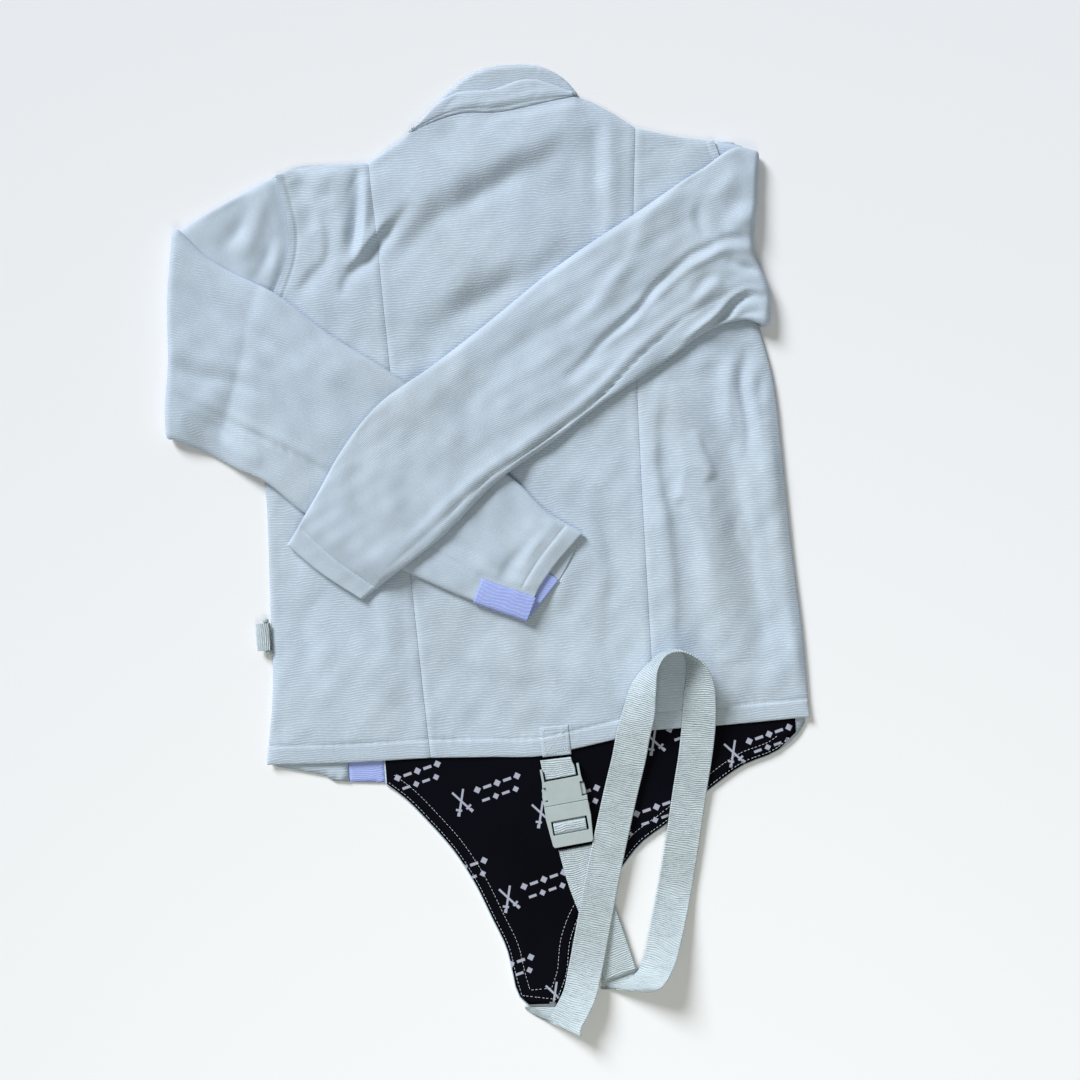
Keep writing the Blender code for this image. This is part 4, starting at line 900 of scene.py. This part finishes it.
collar_front_outline = np.concatenate([fine(COLLAR_EDGE, 34)[::-1],
                                       (fine(FRONT_NECK, 16) + (0, 4 * SEAM))[::-1][:-1]])
collar_front = flat_piece("collar_front_cloth", collar_front_outline, 3.0, collar_front_height, canvas,
                          ["collar_front"], 1.3)
collar_row = fine(COLLAR_SEAM)[3:-3] + (0.0, 4.8)


def collar_row_height(spots):
    """Surface of the collar's back half under its row of stitching."""
    return collar_back_height(spots, 0.17)


stitch_rows("collar_stitches", [collar_row], collar_row_height, 3.2, 2.3, 0.5, 0.1)

# ---------------------------------------------------------------- the sleeves
# Each sleeve is a tube with one length seam, pressed flat, folded at the elbow and laid back over
# the body: the left one first, the right one over it.  Cuffs are turned in and stitched.
SLEEVE_DEPTH = 5.6
SLEEVE_WALL = 1.5
LAYER_AIR = 1.1
ARMHOLE_GAP = 0.4
FOLD_INSET = 6.0
TUCK = 2.2          # how far the upper arm's cloth reaches under the felled armhole band
TUCK_DROP = 1.3
BODY_TOP = 9.0
ARM_TOP = SLEEVE_DEPTH + LAYER_AIR
RIGHT_LIFT = 0.8
EDGE_ROUND = 4.6    # how wide the round of a sleeve's pressed edge is
NOMINAL_WIDTH = 140.0
FOREARM_LENGTH = 460.0
CUFF_HEM = 16.4     # from the cuff's edge to its stitched line
LEVEL_END = 0.3     # share of the right armhole, at either end, that is not level with the fold
LEVEL_FAR = 2.3333  # where the far share begins, counted in LEVEL_END

# Each crease of a sleeve: its height, its widths on either side, and its path.
LEFT_CREASES = [
    (-1.0, 1.0, 1.0, [(-276, 165), (-213, 127), (-146, 86), (-93, 40), (-41, 2), (-8, -22)]),
    (0.7, 3.5, 3.5, [(-272, 172), (-210, 133), (-142, 91), (-90, 45), (-40, 7)]),
    (1.3, 9, 16, [(-262, 292), (-228, 262), (-180, 226), (-130, 182), (-84, 140)]),
    (-0.9, 10, 7, [(-262, 262), (-226, 234), (-186, 206), (-150, 176)]),
    (-1.2, 8, 6, [(-276, 190), (-250, 176), (-214, 168), (-184, 150)]),
    (0.9, 7, 12, [(-270, 205), (-240, 190), (-206, 180), (-176, 162)]),
    (-0.9, 6, 9, [(-262, 140), (-240, 132), (-222, 116)]),
    (1.0, 8, 6, [(-244, 126), (-218, 108), (-196, 92)]),
    (-0.9, 5, 8, [(-34, 22), (-8, -4), (6, -22)]),
    (-1.2, 9, 5, [(58, 20), (40, 4), (20, -14), (8, -34)]),
    (1.3, 4, 7, [(66, 24), (46, 4), (28, -20)]),
    (-0.8, 12, 10, [(-6, 60), (20, 38), (40, 22)]),
    (1.6, 7, 9, [(-176, 336), (-188, 304), (-200, 278)]),
    (-1.5, 6, 8, [(-192, 326), (-204, 304), (-220, 288)]),
    (-1.2, 5, 6, [(-172, 300), (-180, 276), (-192, 258)]),
]
RIGHT_CREASES = [
    (-3.0, 7, 4, [(266, 264), (247, 265), (230, 264), (218, 258), (203, 253), (190, 243), (178, 234),
                  (166, 224), (157, 213), (140, 198), (120, 183), (103, 167), (80, 148)]),
    (2.2, 4, 9, [(264, 254), (246, 256), (229, 255), (214, 248), (198, 241), (184, 231), (172, 221),
                 (158, 209), (146, 196), (128, 184), (108, 168)]),
    (-1.6, 6, 5, [(217, 306), (211, 288), (217, 272), (226, 266)]),
    (1.4, 9, 7, [(196, 312), (164, 288), (149, 257), (128, 229), (108, 208), (88, 190)]),
    (-1.6, 4, 4, [(234, 246), (246, 240), (256, 236), (262, 232)]),
    (-1.3, 4, 5, [(224, 236), (210, 227), (202, 216)]),
    (1.6, 5, 4, [(228, 228), (212, 218), (200, 208)]),
    (-1.2, 1.1, 1.1, [(267, 220), (253, 223), (244, 220), (227, 214), (210, 205), (193, 198), (176, 184),
                      (159, 172), (142, 158), (113, 132), (55, 94), (8, 66), (-49, 21), (-90, -10)]),
    (0.9, 4, 4, [(262, 227), (244, 226), (225, 220), (206, 211), (188, 203), (171, 190), (137, 163),
                 (108, 137), (50, 99), (3, 71), (-54, 26), (-88, -2)]),
    (-3.4, 3, 4.5, [(268, 209), (252, 213), (241, 208), (230, 196), (222, 187), (210, 178), (194, 166),
                    (178, 160)]),
    (1.9, 4, 3, [(266, 216), (250, 219), (236, 212), (222, 199), (206, 188), (188, 176)]),
    (-1.6, 3, 3, [(238, 186), (247, 196), (262, 198)]),
    (1.2, 16, 20, [(188, 300), (130, 262), (60, 216), (-10, 168), (-76, 118)]),
    (-0.9, 12, 16, [(120, 230), (70, 196), (10, 152), (-40, 110)]),
    (1.1, 12, 14, [(90, 122), (40, 96), (-6, 68), (-60, 26), (-96, -4)]),
    (-0.9, 9, 12, [(60, 120), (14, 88), (-30, 56), (-76, 16)]),
    (0.8, 9, 7, [(-92, 100), (-84, 62), (-72, 26), (-80, -8)]),
    (-0.7, 8, 8, [(-118, 84), (-108, 46), (-98, 14)]),
    (-1.0, 6, 9, [(258, 300), (244, 296), (232, 284), (236, 270)]),
    (1.3, 7, 8, [(262, 284), (246, 278), (240, 268)]),
    (0.9, 10, 6, [(250, 330), (238, 312), (226, 300)]),
]


# The left cuff's gusset: where it starts on the forearm's lower edge, and how far it reaches up.
GUSSET_START = 0.86
GUSSET_REACH = (9.2, 19.8)
GUSSET_ALONG = np.linspace(GUSSET_START, 1, 40)
GUSSET_LOW = smooth_curve(LEFT_ARM["forearm_low"], GUSSET_ALONG)
GUSSET_OUTLINE = np.concatenate([GUSSET_LOW, (GUSSET_LOW + GUSSET_REACH)[::-1]])

sleeve_canvas = woven_finish("sleeve canvas", CANVAS_COLOUR, CANVAS_SHADE, 0.0032, 0.0017, 0.24, 0.6,
                             0.00017, 0.88, 0.2)[0]


def plateau(outline, height, spots, slope):
    """Height of a layer that lies under what is above it: full over the layer, and falling to
    the floor within a short distance beyond its edge, as stiff cloth bridges a step."""
    return height * smoothstep(1 + depth_inside(outline, spots) / slope)


def upper_arm_outline(arm):
    """Plan outline of an upper arm beside the body."""
    return np.array(arm["upper_arm_low"] + arm["fold"][1:] + arm["upper_arm_high"][::-1][1:])


def ground_left(spots):
    """What the left forearm lies on: the body, and the left upper arm."""
    return np.maximum(plateau(BODY_OUTLINE, BODY_TOP, spots, 40.0),
                      plateau(upper_arm_outline(LEFT_ARM), ARM_TOP, spots, 42.0))


def ground_right(spots):
    """What the right forearm lies on: the body, its own upper arm and the left forearm."""
    body = plateau(BODY_OUTLINE, BODY_TOP, spots, 60.0)
    under = np.maximum(body, plateau(upper_arm_outline(RIGHT_ARM), ARM_TOP, spots, 20.0))
    left_arm = plateau(arm_outline(LEFT_ARM), ARM_TOP + RIGHT_LIFT, spots, 26.0)
    return np.maximum(under, ground_left(spots)) + left_arm


def armhole_curve(column, gap):
    """The part of a body side above the underarm, moved away from the panel by a gap."""
    whole = smooth_curve(body_column(column), np.linspace(0, 1, 80))
    first = int(np.argmin(np.linalg.norm(whole - np.array(BODY_ROWS[UNDERARM_ROW][column]), axis=1)))
    return shifted(map(tuple, whole[np.linspace(first, len(whole) - 1, 12).astype(int)]), gap)


def sleeve_middle(arm, armhole, ground, stations, across):
    """Middle surface of a folded sleeve and its thickness direction, station by station: the
    upper arm on the floor, a half turn at the fold, and the forearm on what lies under it."""
    fold = shifted(arm["fold"], -arm["outward"][0] * FOLD_INSET)
    upper_low, upper_high = list(arm["upper_arm_low"]), list(arm["upper_arm_high"])
    upper_low[0], upper_high[0] = tuple(armhole[0]), tuple(armhole[-1])
    upper_low[-1], upper_high[-1] = fold[0], fold[-1]
    upper = coons(upper_low, upper_high, armhole, fold, np.linspace(0, 1, stations[0]), across)
    if arm is RIGHT_ARM:
        # Its armhole all but touches the fold, so points across from each other are made level.
        start, end = upper[0], upper[-1]
        level = (end[:, 1] + (start[0, 1] - end[0, 1]) * np.clip(1 - across / LEVEL_END, 0, 1) ** 2
                 + (start[-1, 1] - end[-1, 1]) * np.clip(across / LEVEL_END - LEVEL_FAR, 0, 1) ** 2)
        moved = np.column_stack([np.interp(level, start[:, 1], start[:, 0]), level]) - start
        upper = upper + moved * np.linspace(1, 0, stations[0])[:, None, None]
    low, high = list(arm["forearm_low"]), list(arm["forearm_high"])
    low[0], high[0] = fold[0], fold[-1]
    along = np.linspace(0, 1, stations[1])
    close_rows = np.array([0.5, 1.2, 2.0, CUFF_HEM - 1.2, CUFF_HEM, CUFF_HEM + 1.2])
    along = np.sort(np.concatenate([along, 1 - close_rows / FOREARM_LENGTH]))
    fore = coons(low, high, fold, arm["cuff"], along, across)
    slip = smooth_curve(arm["cuff_under"], across) - smooth_curve(arm["cuff"], across)
    slip = slip[None] * smoothstep((along - 0.85) / 0.15)[:, None, None]
    mid = SLEEVE_DEPTH / 2
    z_fore = ground(fore) + mid
    up = np.array([0.0, 0.0, 1.0])
    edge = upper[-1]
    tangent = np.gradient(edge, axis=0)
    out = np.column_stack([-tangent[:, 1], tangent[:, 0]])
    out *= np.sign(out @ np.array(arm["outward"]))[:, None]
    out /= np.linalg.norm(out, axis=1)[:, None]
    room = 0.05 * np.arange(stations[0])[::-1, None, None]
    past = ((upper - edge) * np.array(arm["outward"])).sum(-1, keepdims=True) > -room
    upper = np.where(past, edge - np.array(arm["outward"]) * room, upper)
    radius = ((z_fore[0] - mid) / 2)[None, :, None]
    turn = np.radians(np.arange(15, 180, 15))[:, None, None]
    bend = np.concatenate([edge[None] + out[None] * radius * np.sin(turn),
                           mid + radius * (1 - np.cos(turn))], axis=-1)
    lean = np.concatenate([-out[None] * np.sin(turn), np.broadcast_to(np.cos(turn), bend[..., :1].shape)],
                          axis=-1)
    middles = [np.dstack([upper, np.full(upper.shape[:2], mid)]), bend, np.dstack([fore, z_fore])]
    normals = [np.broadcast_to(up, middles[0].shape), lean, np.broadcast_to(-up, middles[2].shape)]
    middle = np.concatenate(middles)
    slips = np.zeros(middle.shape)
    slips[-len(fore):, :, :2] = slip
    from_cuff = np.full(middle.shape[0], 999.0)
    from_cuff[-len(fore):] = (1 - along) * FOREARM_LENGTH
    return middle, np.concatenate(normals), slips, from_cuff


def sleeve(name, arm, armhole, ground, stations, table, seed, dome, node):
    """A flattened tube round the middle surface.  Across, its half depth is a quarter circle at
    both edges; its upper side is domed and carries the creases, the cuff band and the stitched line."""
    across = edged(54, NOMINAL_WIDTH, (0.0, 0.15, 0.5, 1.1, 2.0, 3.2, 4.6, 6.5))
    near = np.minimum(across, 1 - across) * NOMINAL_WIDTH
    depth = np.sqrt(np.clip(1 - (1 - np.clip(near / EDGE_ROUND, 0, 1)) ** 2, 0, 1))
    middle, normal, slip, from_cuff = sleeve_middle(arm, armhole, ground, stations, across)
    half = SLEEVE_DEPTH / 2
    reach = (normal * half) * depth[None, :, None]
    spine = middle[:, len(across) // 2]
    run = np.concatenate([[0], np.cumsum(np.linalg.norm(np.diff(spine, axis=0), axis=1))])
    sides = []
    for side in (1, -1):
        skin = middle + side * reach
        looks_up = np.clip(side * normal[..., 2], 0, 1)
        if side > 0:
            skin = skin + slip * (1 - looks_up[..., None])
        plan = skin[..., :2]
        folds = 1.7 * creases(table, plan)
        folds = folds + unevenness(plan, seed, 60, 0.7) + unevenness(plan, seed + 1, 24, 0.3)
        folds = folds + dome * np.sin(np.pi * across)[None] ** 0.7
        band = 0.35 * smoothstep((CUFF_HEM + 0.6 - from_cuff) / 2.0)
        band = band - 0.7 * np.exp(-((from_cuff - CUFF_HEM) / 1.1) ** 2)
        band = band - 0.9 * (1 - np.clip(from_cuff / 1.6, 0, 1)) ** 2
        rise = np.clip(folds, -4.0, 5.0) * smoothstep((from_cuff + 2) / 16.0)[:, None] + band[:, None]
        if node == "sleeve_left":
            under = smoothstep(depth_inside(arm_outline(RIGHT_ARM), plan) / 10 + 1)
            rise = np.where(rise > 0, rise * (1 - 0.75 * under), rise)
            rise = rise * smoothstep(-depth_inside(GUSSET_OUTLINE, plan) / 9.0)
        edge_fade = smoothstep(near / 7.0)[None]
        skin[..., 2] += rise * looks_up * edge_fade * smoothstep(run / 14.0)[:, None]
        tuck = (1 - smoothstep(run / 12.0))[:, None] * looks_up * (side > 0)
        skin[..., 0] -= TUCK * arm["outward"][0] * tuck
        skin[..., 2] -= TUCK_DROP * tuck
        sides.append(skin)
    upper_side, under_side = sides
    ring = np.concatenate([upper_side, under_side[:, -2:0:-1]], axis=1)
    closed = np.concatenate([ring, ring[:, :1]], axis=1)
    girth = np.linalg.norm(np.diff(closed, axis=1), axis=2).mean(0)
    place = np.concatenate([[0], np.cumsum(girth)])
    lengthwise = np.broadcast_to(run[:, None], closed.shape[:2])
    crosswise = np.broadcast_to(place[None], closed.shape[:2])
    lean = math.radians(16)
    cloth_map = np.dstack([lengthwise * math.cos(lean) - crosswise * math.sin(lean),
                           lengthwise * math.sin(lean) + crosswise * math.cos(lean)])
    piece = grid_piece(name, ring, cloth_map, sleeve_canvas, [node], SLEEVE_WALL, wraps=True,
                       up=1 if arm["outward"][0] < 0 else -1)
    return sides[1], from_cuff


left_skin, left_run = sleeve("sleeve_left_cloth", LEFT_ARM, armhole_curve(0, -ARMHOLE_GAP), ground_left,
                             (44, 150), LEFT_CREASES, 21, 1.3, "sleeve_left")
right_skin, right_run = sleeve("sleeve_right_cloth", RIGHT_ARM, armhole_curve(3, ARMHOLE_GAP), ground_right,
                               (16, 170), RIGHT_CREASES, 31, 1.8, "sleeve_right")


def cuff_row(skin, from_cuff, distance):
    """Row of 3-D points across a sleeve's upper side, at a distance from its cuff."""
    place = int(np.argmin(np.abs(from_cuff - distance)))
    return skin[place, 6:-6]


for label, skin, run in (("left", left_skin, left_run), ("right", right_skin, right_run)):
    row = cuff_row(skin, run, CUFF_HEM)
    order = np.argsort(row[:, 0])

    def row_height(spots, xs=row[order, 0], zs=row[order, 2]):
        """Height of the cuff's surface along its stitched line."""
        return np.interp(spots[:, 0], xs, zs)

    stitch_rows("cuff_stitches_" + label, [row[:, :2]], row_height, 3.2, 2.3, 0.5, 0.05)

# ---------------------------------------------------------------- gusset of the left cuff
# A wedge of the same lilac elastic is let into the lower edge of the left cuff, so that it
# stretches over the glove.  It wraps round the sleeve's lower edge.
# Share of the gusset's width, and height above the sleeve's middle, from its seam round the edge to
# the underside.
GUSSET_SECTION = [(1.0, 1.0), (0.65, 1.06), (0.3, 1.0), (0.06, 0.9), (-0.045, 0.55), (-0.078, 0.0),
                  (-0.045, -0.55), (0.06, -0.9), (0.3, -1.0)]
gusset_rows = []
for share, lift in smooth_curve(GUSSET_SECTION, np.linspace(0, 1, 30)):
    plan = GUSSET_LOW + np.array(GUSSET_REACH) * share
    level = ground_left(GUSSET_LOW) * (1 - max(share, 0)) + ground_left(plan) * max(share, 0)
    gusset_rows.append(np.column_stack([plan, level + SLEEVE_DEPTH / 2 + lift * (SLEEVE_DEPTH / 2 + 1.1)]))
gusset_points = np.stack(gusset_rows, axis=1)
gusset_points[..., 2] += unevenness(gusset_points[..., :2], 17, 15, 0.1)
gusset_map = np.dstack([np.broadcast_to(GUSSET_ALONG[:, None] * FOREARM_LENGTH, gusset_points.shape[:2]),
                        np.broadcast_to(np.linspace(0, 34, 30)[None], gusset_points.shape[:2])])
# The same elastic shows inside the cuff, on the under layer that reaches beyond the upper one.
CUFF_INSIDE = ([(36.5, -60.5), (47, -48.5), (63.5, -30)], [(24, -44), (34, -32), (49, -17)])
inside_plan = coons(*CUFF_INSIDE, [side[0] for side in CUFF_INSIDE], [side[-1] for side in CUFF_INSIDE],
                    np.linspace(0, 1, 24), np.linspace(0, 1, 14))
inside_points = np.dstack([inside_plan, ground_left(inside_plan) + 2.3])
points, faces, corners, first = [], [], [], 0
for grid, layout in ((gusset_points, gusset_map), (inside_points, inside_plan)):
    row, column = grid_quads(*grid.shape[:2])
    points.append(grid.reshape(-1, 3))
    faces.append(row * grid.shape[1] + column + first)
    corners.append(layout[row, column])
    first += len(points[-1])
cuff_elastic = finish_piece("cuff_elastic_cloth", np.concatenate(points), np.concatenate(faces),
                            np.concatenate(corners), elastic, ["cuff_elastic"], 0.6)

# ---------------------------------------------------------------- hem tab and webbing
# The crotch strap is 30 mm polyester webbing.  A short length hangs from a square tab that is
# stitched to the back hem with a crossed box, and the long strap runs from the flap's tip, stands
# in a loop over the hem and comes back to the buckle, with its free end lying beside it.
WEBBING_WIDTH = 30.5
WEBBING_THICK = 1.4
FLOOR_CLEAR = 0.3
TAB_SIZE = (26.0, 27.0)
TAB_CENTRE = (50.5, -174.5)
TAB_TURN = math.radians(2.0)
# Middle of the webbing, the height of its lowest edge, and the azimuth and tilt of its width in degrees.
STRAP_ROUTE = [
    (23, -414.5, 0.4, -4, 0), (25.2, -419.8, 0.3, -14, 4), (29, -425.8, 0.5, -20, 11),
    (33.3, -429.8, 0.9, -23, 19), (38, -431, 1.8, -22, 28), (42, -427.8, 2.8, -21, 29),
    (44.8, -422.8, 3.8, -20, 25), (49.3, -415.5, 4.6, -17, 24), (54.8, -406, 5.0, -15, 20),
    (63, -381, 6.2, -20, 6), (73, -343, 7.8, -17, 0), (83.5, -302, 8.6, -16, 0), (96, -258, 8.6, -16, 0),
    (106.4, -223, 7.8, -16, 0), (116, -192, 8.4, -16, 2), (121, -172, 8.8, -17, 8),
    (127, -153, 8.8, -17, 22), (133, -130, 8.8, -20, 48), (142, -112, 8.8, -30, 76),
    (154, -101, 8.8, -40, 88), (168, -100, 8.8, 10, 88), (178, -109, 8.8, 8, 70), (182.5, -125, 8.8, 0, 46),
    (182, -145, 8.8, -6, 22), (180, -168, 8.8, -8, 6), (176, -193, 7.4, -9, 0), (168, -229, 4.8, -11, 0),
    (158, -275, 4.2, -13, 0), (147, -321, 3.2, -16, 4), (136.4, -357.9, 3.8, -20, 17),
    (129.8, -377.5, 4.2, -15, 26), (122.5, -390, 4.4, -5, 35), (115, -395.8, 4.6, -4, 38),
    (106, -400.3, 4.0, -1, 36), (98, -402, 2.4, 0, 26), (94, -400.3, 0.9, 3, 10), (92.3, -396, 0.6, 8, 3),
    (93, -389.5, 0.6, 14, 0), (84, -356, 0.9, 15, 0), (77, -332, 3.8, 16, 0), (67, -298, 4.0, 13, 0),
    (61.5, -271.5, 4.9, 7, 0),
]
TAIL_ROUTE = [(62.5, -272, 6.8, 7, 0), (70, -300, 6.0, 14, 0), (79.5, -334, 5.7, 16, 0),
              (86.8, -361, 4.0, 17, 0), (92, -381, 3.6, 17, 0), (94.2, -390, 3.4, 17, 0)]
SHORT_ROUTE = [(49.5, -190.4, 5.6, 3, 0), (50.2, -195, 6.0, 4, 0), (52.4, -202, 6.4, 6, 0),
               (53, -207.2, 6.5, 6.5, 0)]
webbing = woven_finish("polyester webbing", (0.54, 0.63, 0.695, 1), (0.46, 0.535, 0.56, 1), 0.009, 0.0019,
                       0.55, 0.5, 0.0009, 0.55, 0.1, 0.3)[0]


def webbing_section(width, thick):
    """Half of the outline of flat webbing: thin woven edges, a shallow channel beside them, and an
    almost flat face; the other half is its mirror image."""
    across = np.array([1.0, 0.988, 0.955, 0.90, 0.85, 0.6, 0.3, 0.0, -0.3, -0.6, -0.85, -0.90, -0.955,
                       -0.988])
    rise = np.array([0.0, 0.72, 1.0, 0.98, 0.82, 0.96, 1.0, 1.0, 1.0, 0.96, 0.82, 0.98, 1.0, 0.72])
    half = np.column_stack([across * width / 2, rise * thick / 2])
    return np.concatenate([half, -half])


def strap(name, route, samples, nodes, width=WEBBING_WIDTH, thick=WEBBING_THICK):
    """Webbing along a route: its width points where the table says, and is stretched where the
    route runs aslant to it, so that the webbing keeps its own width.  A ring that would reach below
    the floor is lifted clear of it.  Returns the piece and its length."""
    route = np.asarray(route, dtype=float)
    turn, tilt = np.radians(route[:, 3]), np.radians(route[:, 4])
    wide = np.column_stack([np.cos(turn) * np.cos(tilt), np.sin(turn) * np.cos(tilt), np.sin(tilt)])
    shares = np.linspace(0, 1, samples)
    middle = smooth_curve(route[:, :3], shares)
    lean = smooth_curve(np.column_stack([route[:, :3], tilt]), shares)[:, 3]
    middle[:, 2] += np.sin(lean) * width / 2 + np.cos(lean) * thick / 2
    wide = smooth_curve(np.column_stack([route[:, :3], wide]), shares)[:, 3:]
    ahead = np.gradient(middle, axis=0)
    ahead /= np.linalg.norm(ahead, axis=1)[:, None]
    wide /= np.linalg.norm(wide, axis=1)[:, None]
    normal = np.cross(ahead, wide)
    square = np.linalg.norm(normal, axis=1)[:, None]
    normal /= square
    wide /= np.maximum(square, 0.75)
    section = webbing_section(width, thick)
    rings = middle[:, None] + wide[:, None] * section[None, :, :1] + normal[:, None] * section[None, :, 1:]
    rings[..., 2] += np.maximum(FLOOR_CLEAR - rings[..., 2].min(1), 0)[:, None]
    run = np.concatenate([[0], np.cumsum(np.linalg.norm(np.diff(middle, axis=0), axis=1))])
    count, sides = rings.shape[:2]
    row, column = grid_quads(count, sides, wraps=True)
    faces = row * sides + column % sides
    edge = np.append(section[:, 0], section[0, 0])
    corners = np.stack([edge[column], run[row]], axis=-1)
    half = sides // 2
    pair = np.arange(half - 1)
    caps = np.stack([pair + 1, pair, sides - 1 - pair, sides - 2 - pair], axis=-1)
    caps = np.concatenate([caps, caps[:, ::-1] + (count - 1) * sides])
    faces = np.concatenate([faces, caps])
    corners = np.concatenate([corners, np.zeros((len(caps), 4, 2))])
    piece = finish_piece(name, rings.reshape(-1, 3), faces, corners.reshape(-1, 2),
                         webbing, nodes)
    return piece, run[-1] * MM


# The webbing rises through the buckle's slot, crosses its bar and goes down again to the free end.
SLOT_ROUTE = [(58.9, -258.2, 5.0, 6.5, 0), (58.7, -256.8, 7.5, 6.5, 0), (58.5, -255, 9.6, 6.5, 0),
              (58.2, -251.5, 10.1, 6.5, 0), (57.8, -247.8, 9.6, 6.5, 0), (57.6, -246, 7.4, 6.5, 0),
              (57.5, -245, 5.0, 6.5, 0)]
crotch_strap, strap_length = strap("crotch_strap_webbing", STRAP_ROUTE, 420, ["crotch_strap"])
strap_tail, tail_length = strap("strap_tail_webbing", TAIL_ROUTE, 60, ["strap_tail"])
slot_webbing, slot_length = strap("slot_webbing", SLOT_ROUTE, 40, [], 29.5)
tab_webbing, tab_length = strap("tab_webbing_loop", SHORT_ROUTE, 24, ["tab_webbing"], 28, 2.6)


def tab_place(x, y):
    """From the tab's own frame to the jacket's."""
    return np.stack([TAB_CENTRE[0] + x * math.cos(TAB_TURN) - y * math.sin(TAB_TURN),
                     TAB_CENTRE[1] + x * math.sin(TAB_TURN) + y * math.cos(TAB_TURN)], axis=-1)


def tab_height(spots):
    """Upper face of the tab, which follows the hem under it and thins at its own edge."""
    right, up = spots[..., 0] - TAB_CENTRE[0], spots[..., 1] - TAB_CENTRE[1]
    x = right * math.cos(TAB_TURN) + up * math.sin(TAB_TURN)
    y = up * math.cos(TAB_TURN) - right * math.sin(TAB_TURN)
    edge = np.clip(np.minimum(TAB_SIZE[0] / 2 - np.abs(x), TAB_SIZE[1] / 2 - np.abs(y)) / 1.5, 0, 1)
    under = np.maximum(back_height(spots), 5.2)
    return under + 1.0 - 0.5 * (1 - edge) ** 2


tab_x, tab_y = np.meshgrid(np.linspace(-1, 1, 30) * TAB_SIZE[0] / 2,
                           np.linspace(-1, 1, 30) * TAB_SIZE[1] / 2)
tab_plan = tab_place(tab_x, tab_y)
hem_tab = grid_piece("hem_tab_cloth", np.dstack([tab_plan, tab_height(tab_plan)]), tab_plan, canvas,
                     ["hem_tab"], 0.9)
box_x, box_y = TAB_SIZE[0] / 2 - 2.6, TAB_SIZE[1] / 2 - 2.6
box = [(-box_x, -box_y), (box_x, -box_y), (box_x, box_y), (-box_x, box_y)]
tab_rows = [tab_place(*np.array([a, b], dtype=float).T) for a, b in
            [(box[0], box[1]), (box[1], box[2]), (box[2], box[3]), (box[3], box[0]), (box[0], box[2]),
             (box[1], box[3])]]
stitch_rows("tab_stitches", tab_rows, tab_height, 2.4, 1.9, 0.55, 0.1)

# ---------------------------------------------------------------- buckle and side adjuster
# The side-release buckle and the adjuster's bar are moulded acetal, a little greener than the
# cloth, with fine mould grain.  A loop of webbing at the wearer's left side holds the bar.
plastic, plastic_tree, plastic_shader = new_material("moulded acetal", 0.36, 0.45)
plastic_place = add_node(plastic_tree, "TexCoord").outputs["Object"]
mould_grain = add_node(plastic_tree, "TexNoise", {"Vector": plastic_place, "Scale": 1400.0, "Detail": 2.0})
handling = add_node(plastic_tree, "TexNoise", {"Vector": plastic_place, "Scale": 120.0, "Detail": 3.0})
plastic_tone = add_node(plastic_tree, "ValToRGB", {"Fac": handling.outputs[0]})
plastic_tone.color_ramp.elements[0].color = (0.38, 0.45, 0.47, 1)
plastic_tone.color_ramp.elements[1].color = (0.46, 0.53, 0.55, 1)
put(plastic_shader.inputs["Base Color"], plastic_tone.outputs[0])
plastic_rough = add_node(plastic_tree, "MapRange", {"Value": handling.outputs[0], "From Min": 0.3,
                                                    "From Max": 0.7, "To Min": 0.3, "To Max": 0.46})
put(plastic_shader.inputs["Roughness"], plastic_rough.outputs[0])
plastic_bump = add_node(plastic_tree, "Bump", {"Strength": 0.3, "Distance": 0.0002,
                                               "Height": mould_grain.outputs[0]})
put(plastic_shader.inputs["Normal"], plastic_bump.outputs[0])
for node, round_over in (("buckle_female", 0.7), ("buckle_male", 0.7), ("side_bar", 0.5)):
    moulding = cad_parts[node]
    moulding.data.materials.clear()
    moulding.data.materials.append(plastic)
    weld = moulding.modifiers.new("weld", "WELD")
    weld.merge_threshold = 0.01 * MM
    edges = moulding.modifiers.new("edges", "BEVEL")
    edges.width = round_over * MM
    edges.segments = 3
    edges.limit_method = "ANGLE"
    edges.angle_limit = math.radians(35)

SIDE_LOOP = [(-199.8, 1.4), (-204, 1.4), (-208, 1.9), (-211, 3.2), (-212.3, 5.2), (-211, 7.4), (-208, 8.8),
             (-204, 9.2), (-199.8, 8.8)]
SIDE_LOOP_Y = (-75.0, -50.5)
loop_line = smooth_curve(SIDE_LOOP, np.linspace(0, 1, 36))
loop_ys = edged(14, SIDE_LOOP_Y[1] - SIDE_LOOP_Y[0], (0.0, 0.4, 1.2))
loop_ys = SIDE_LOOP_Y[0] + (SIDE_LOOP_Y[1] - SIDE_LOOP_Y[0]) * loop_ys
loop_points = np.stack([np.column_stack([loop_line[:, 0], np.full(len(loop_line), y), loop_line[:, 1]])
                        for y in loop_ys], axis=1)
loop_run = np.concatenate([[0], np.cumsum(np.linalg.norm(np.diff(loop_line, axis=0), axis=1))])
loop_map = np.dstack(np.broadcast_arrays(loop_points[..., 1], loop_run[:, None]))
side_webbing = grid_piece("side_webbing_loop", loop_points, loop_map, webbing, ["side_webbing"],
                          1.2, up=-1)
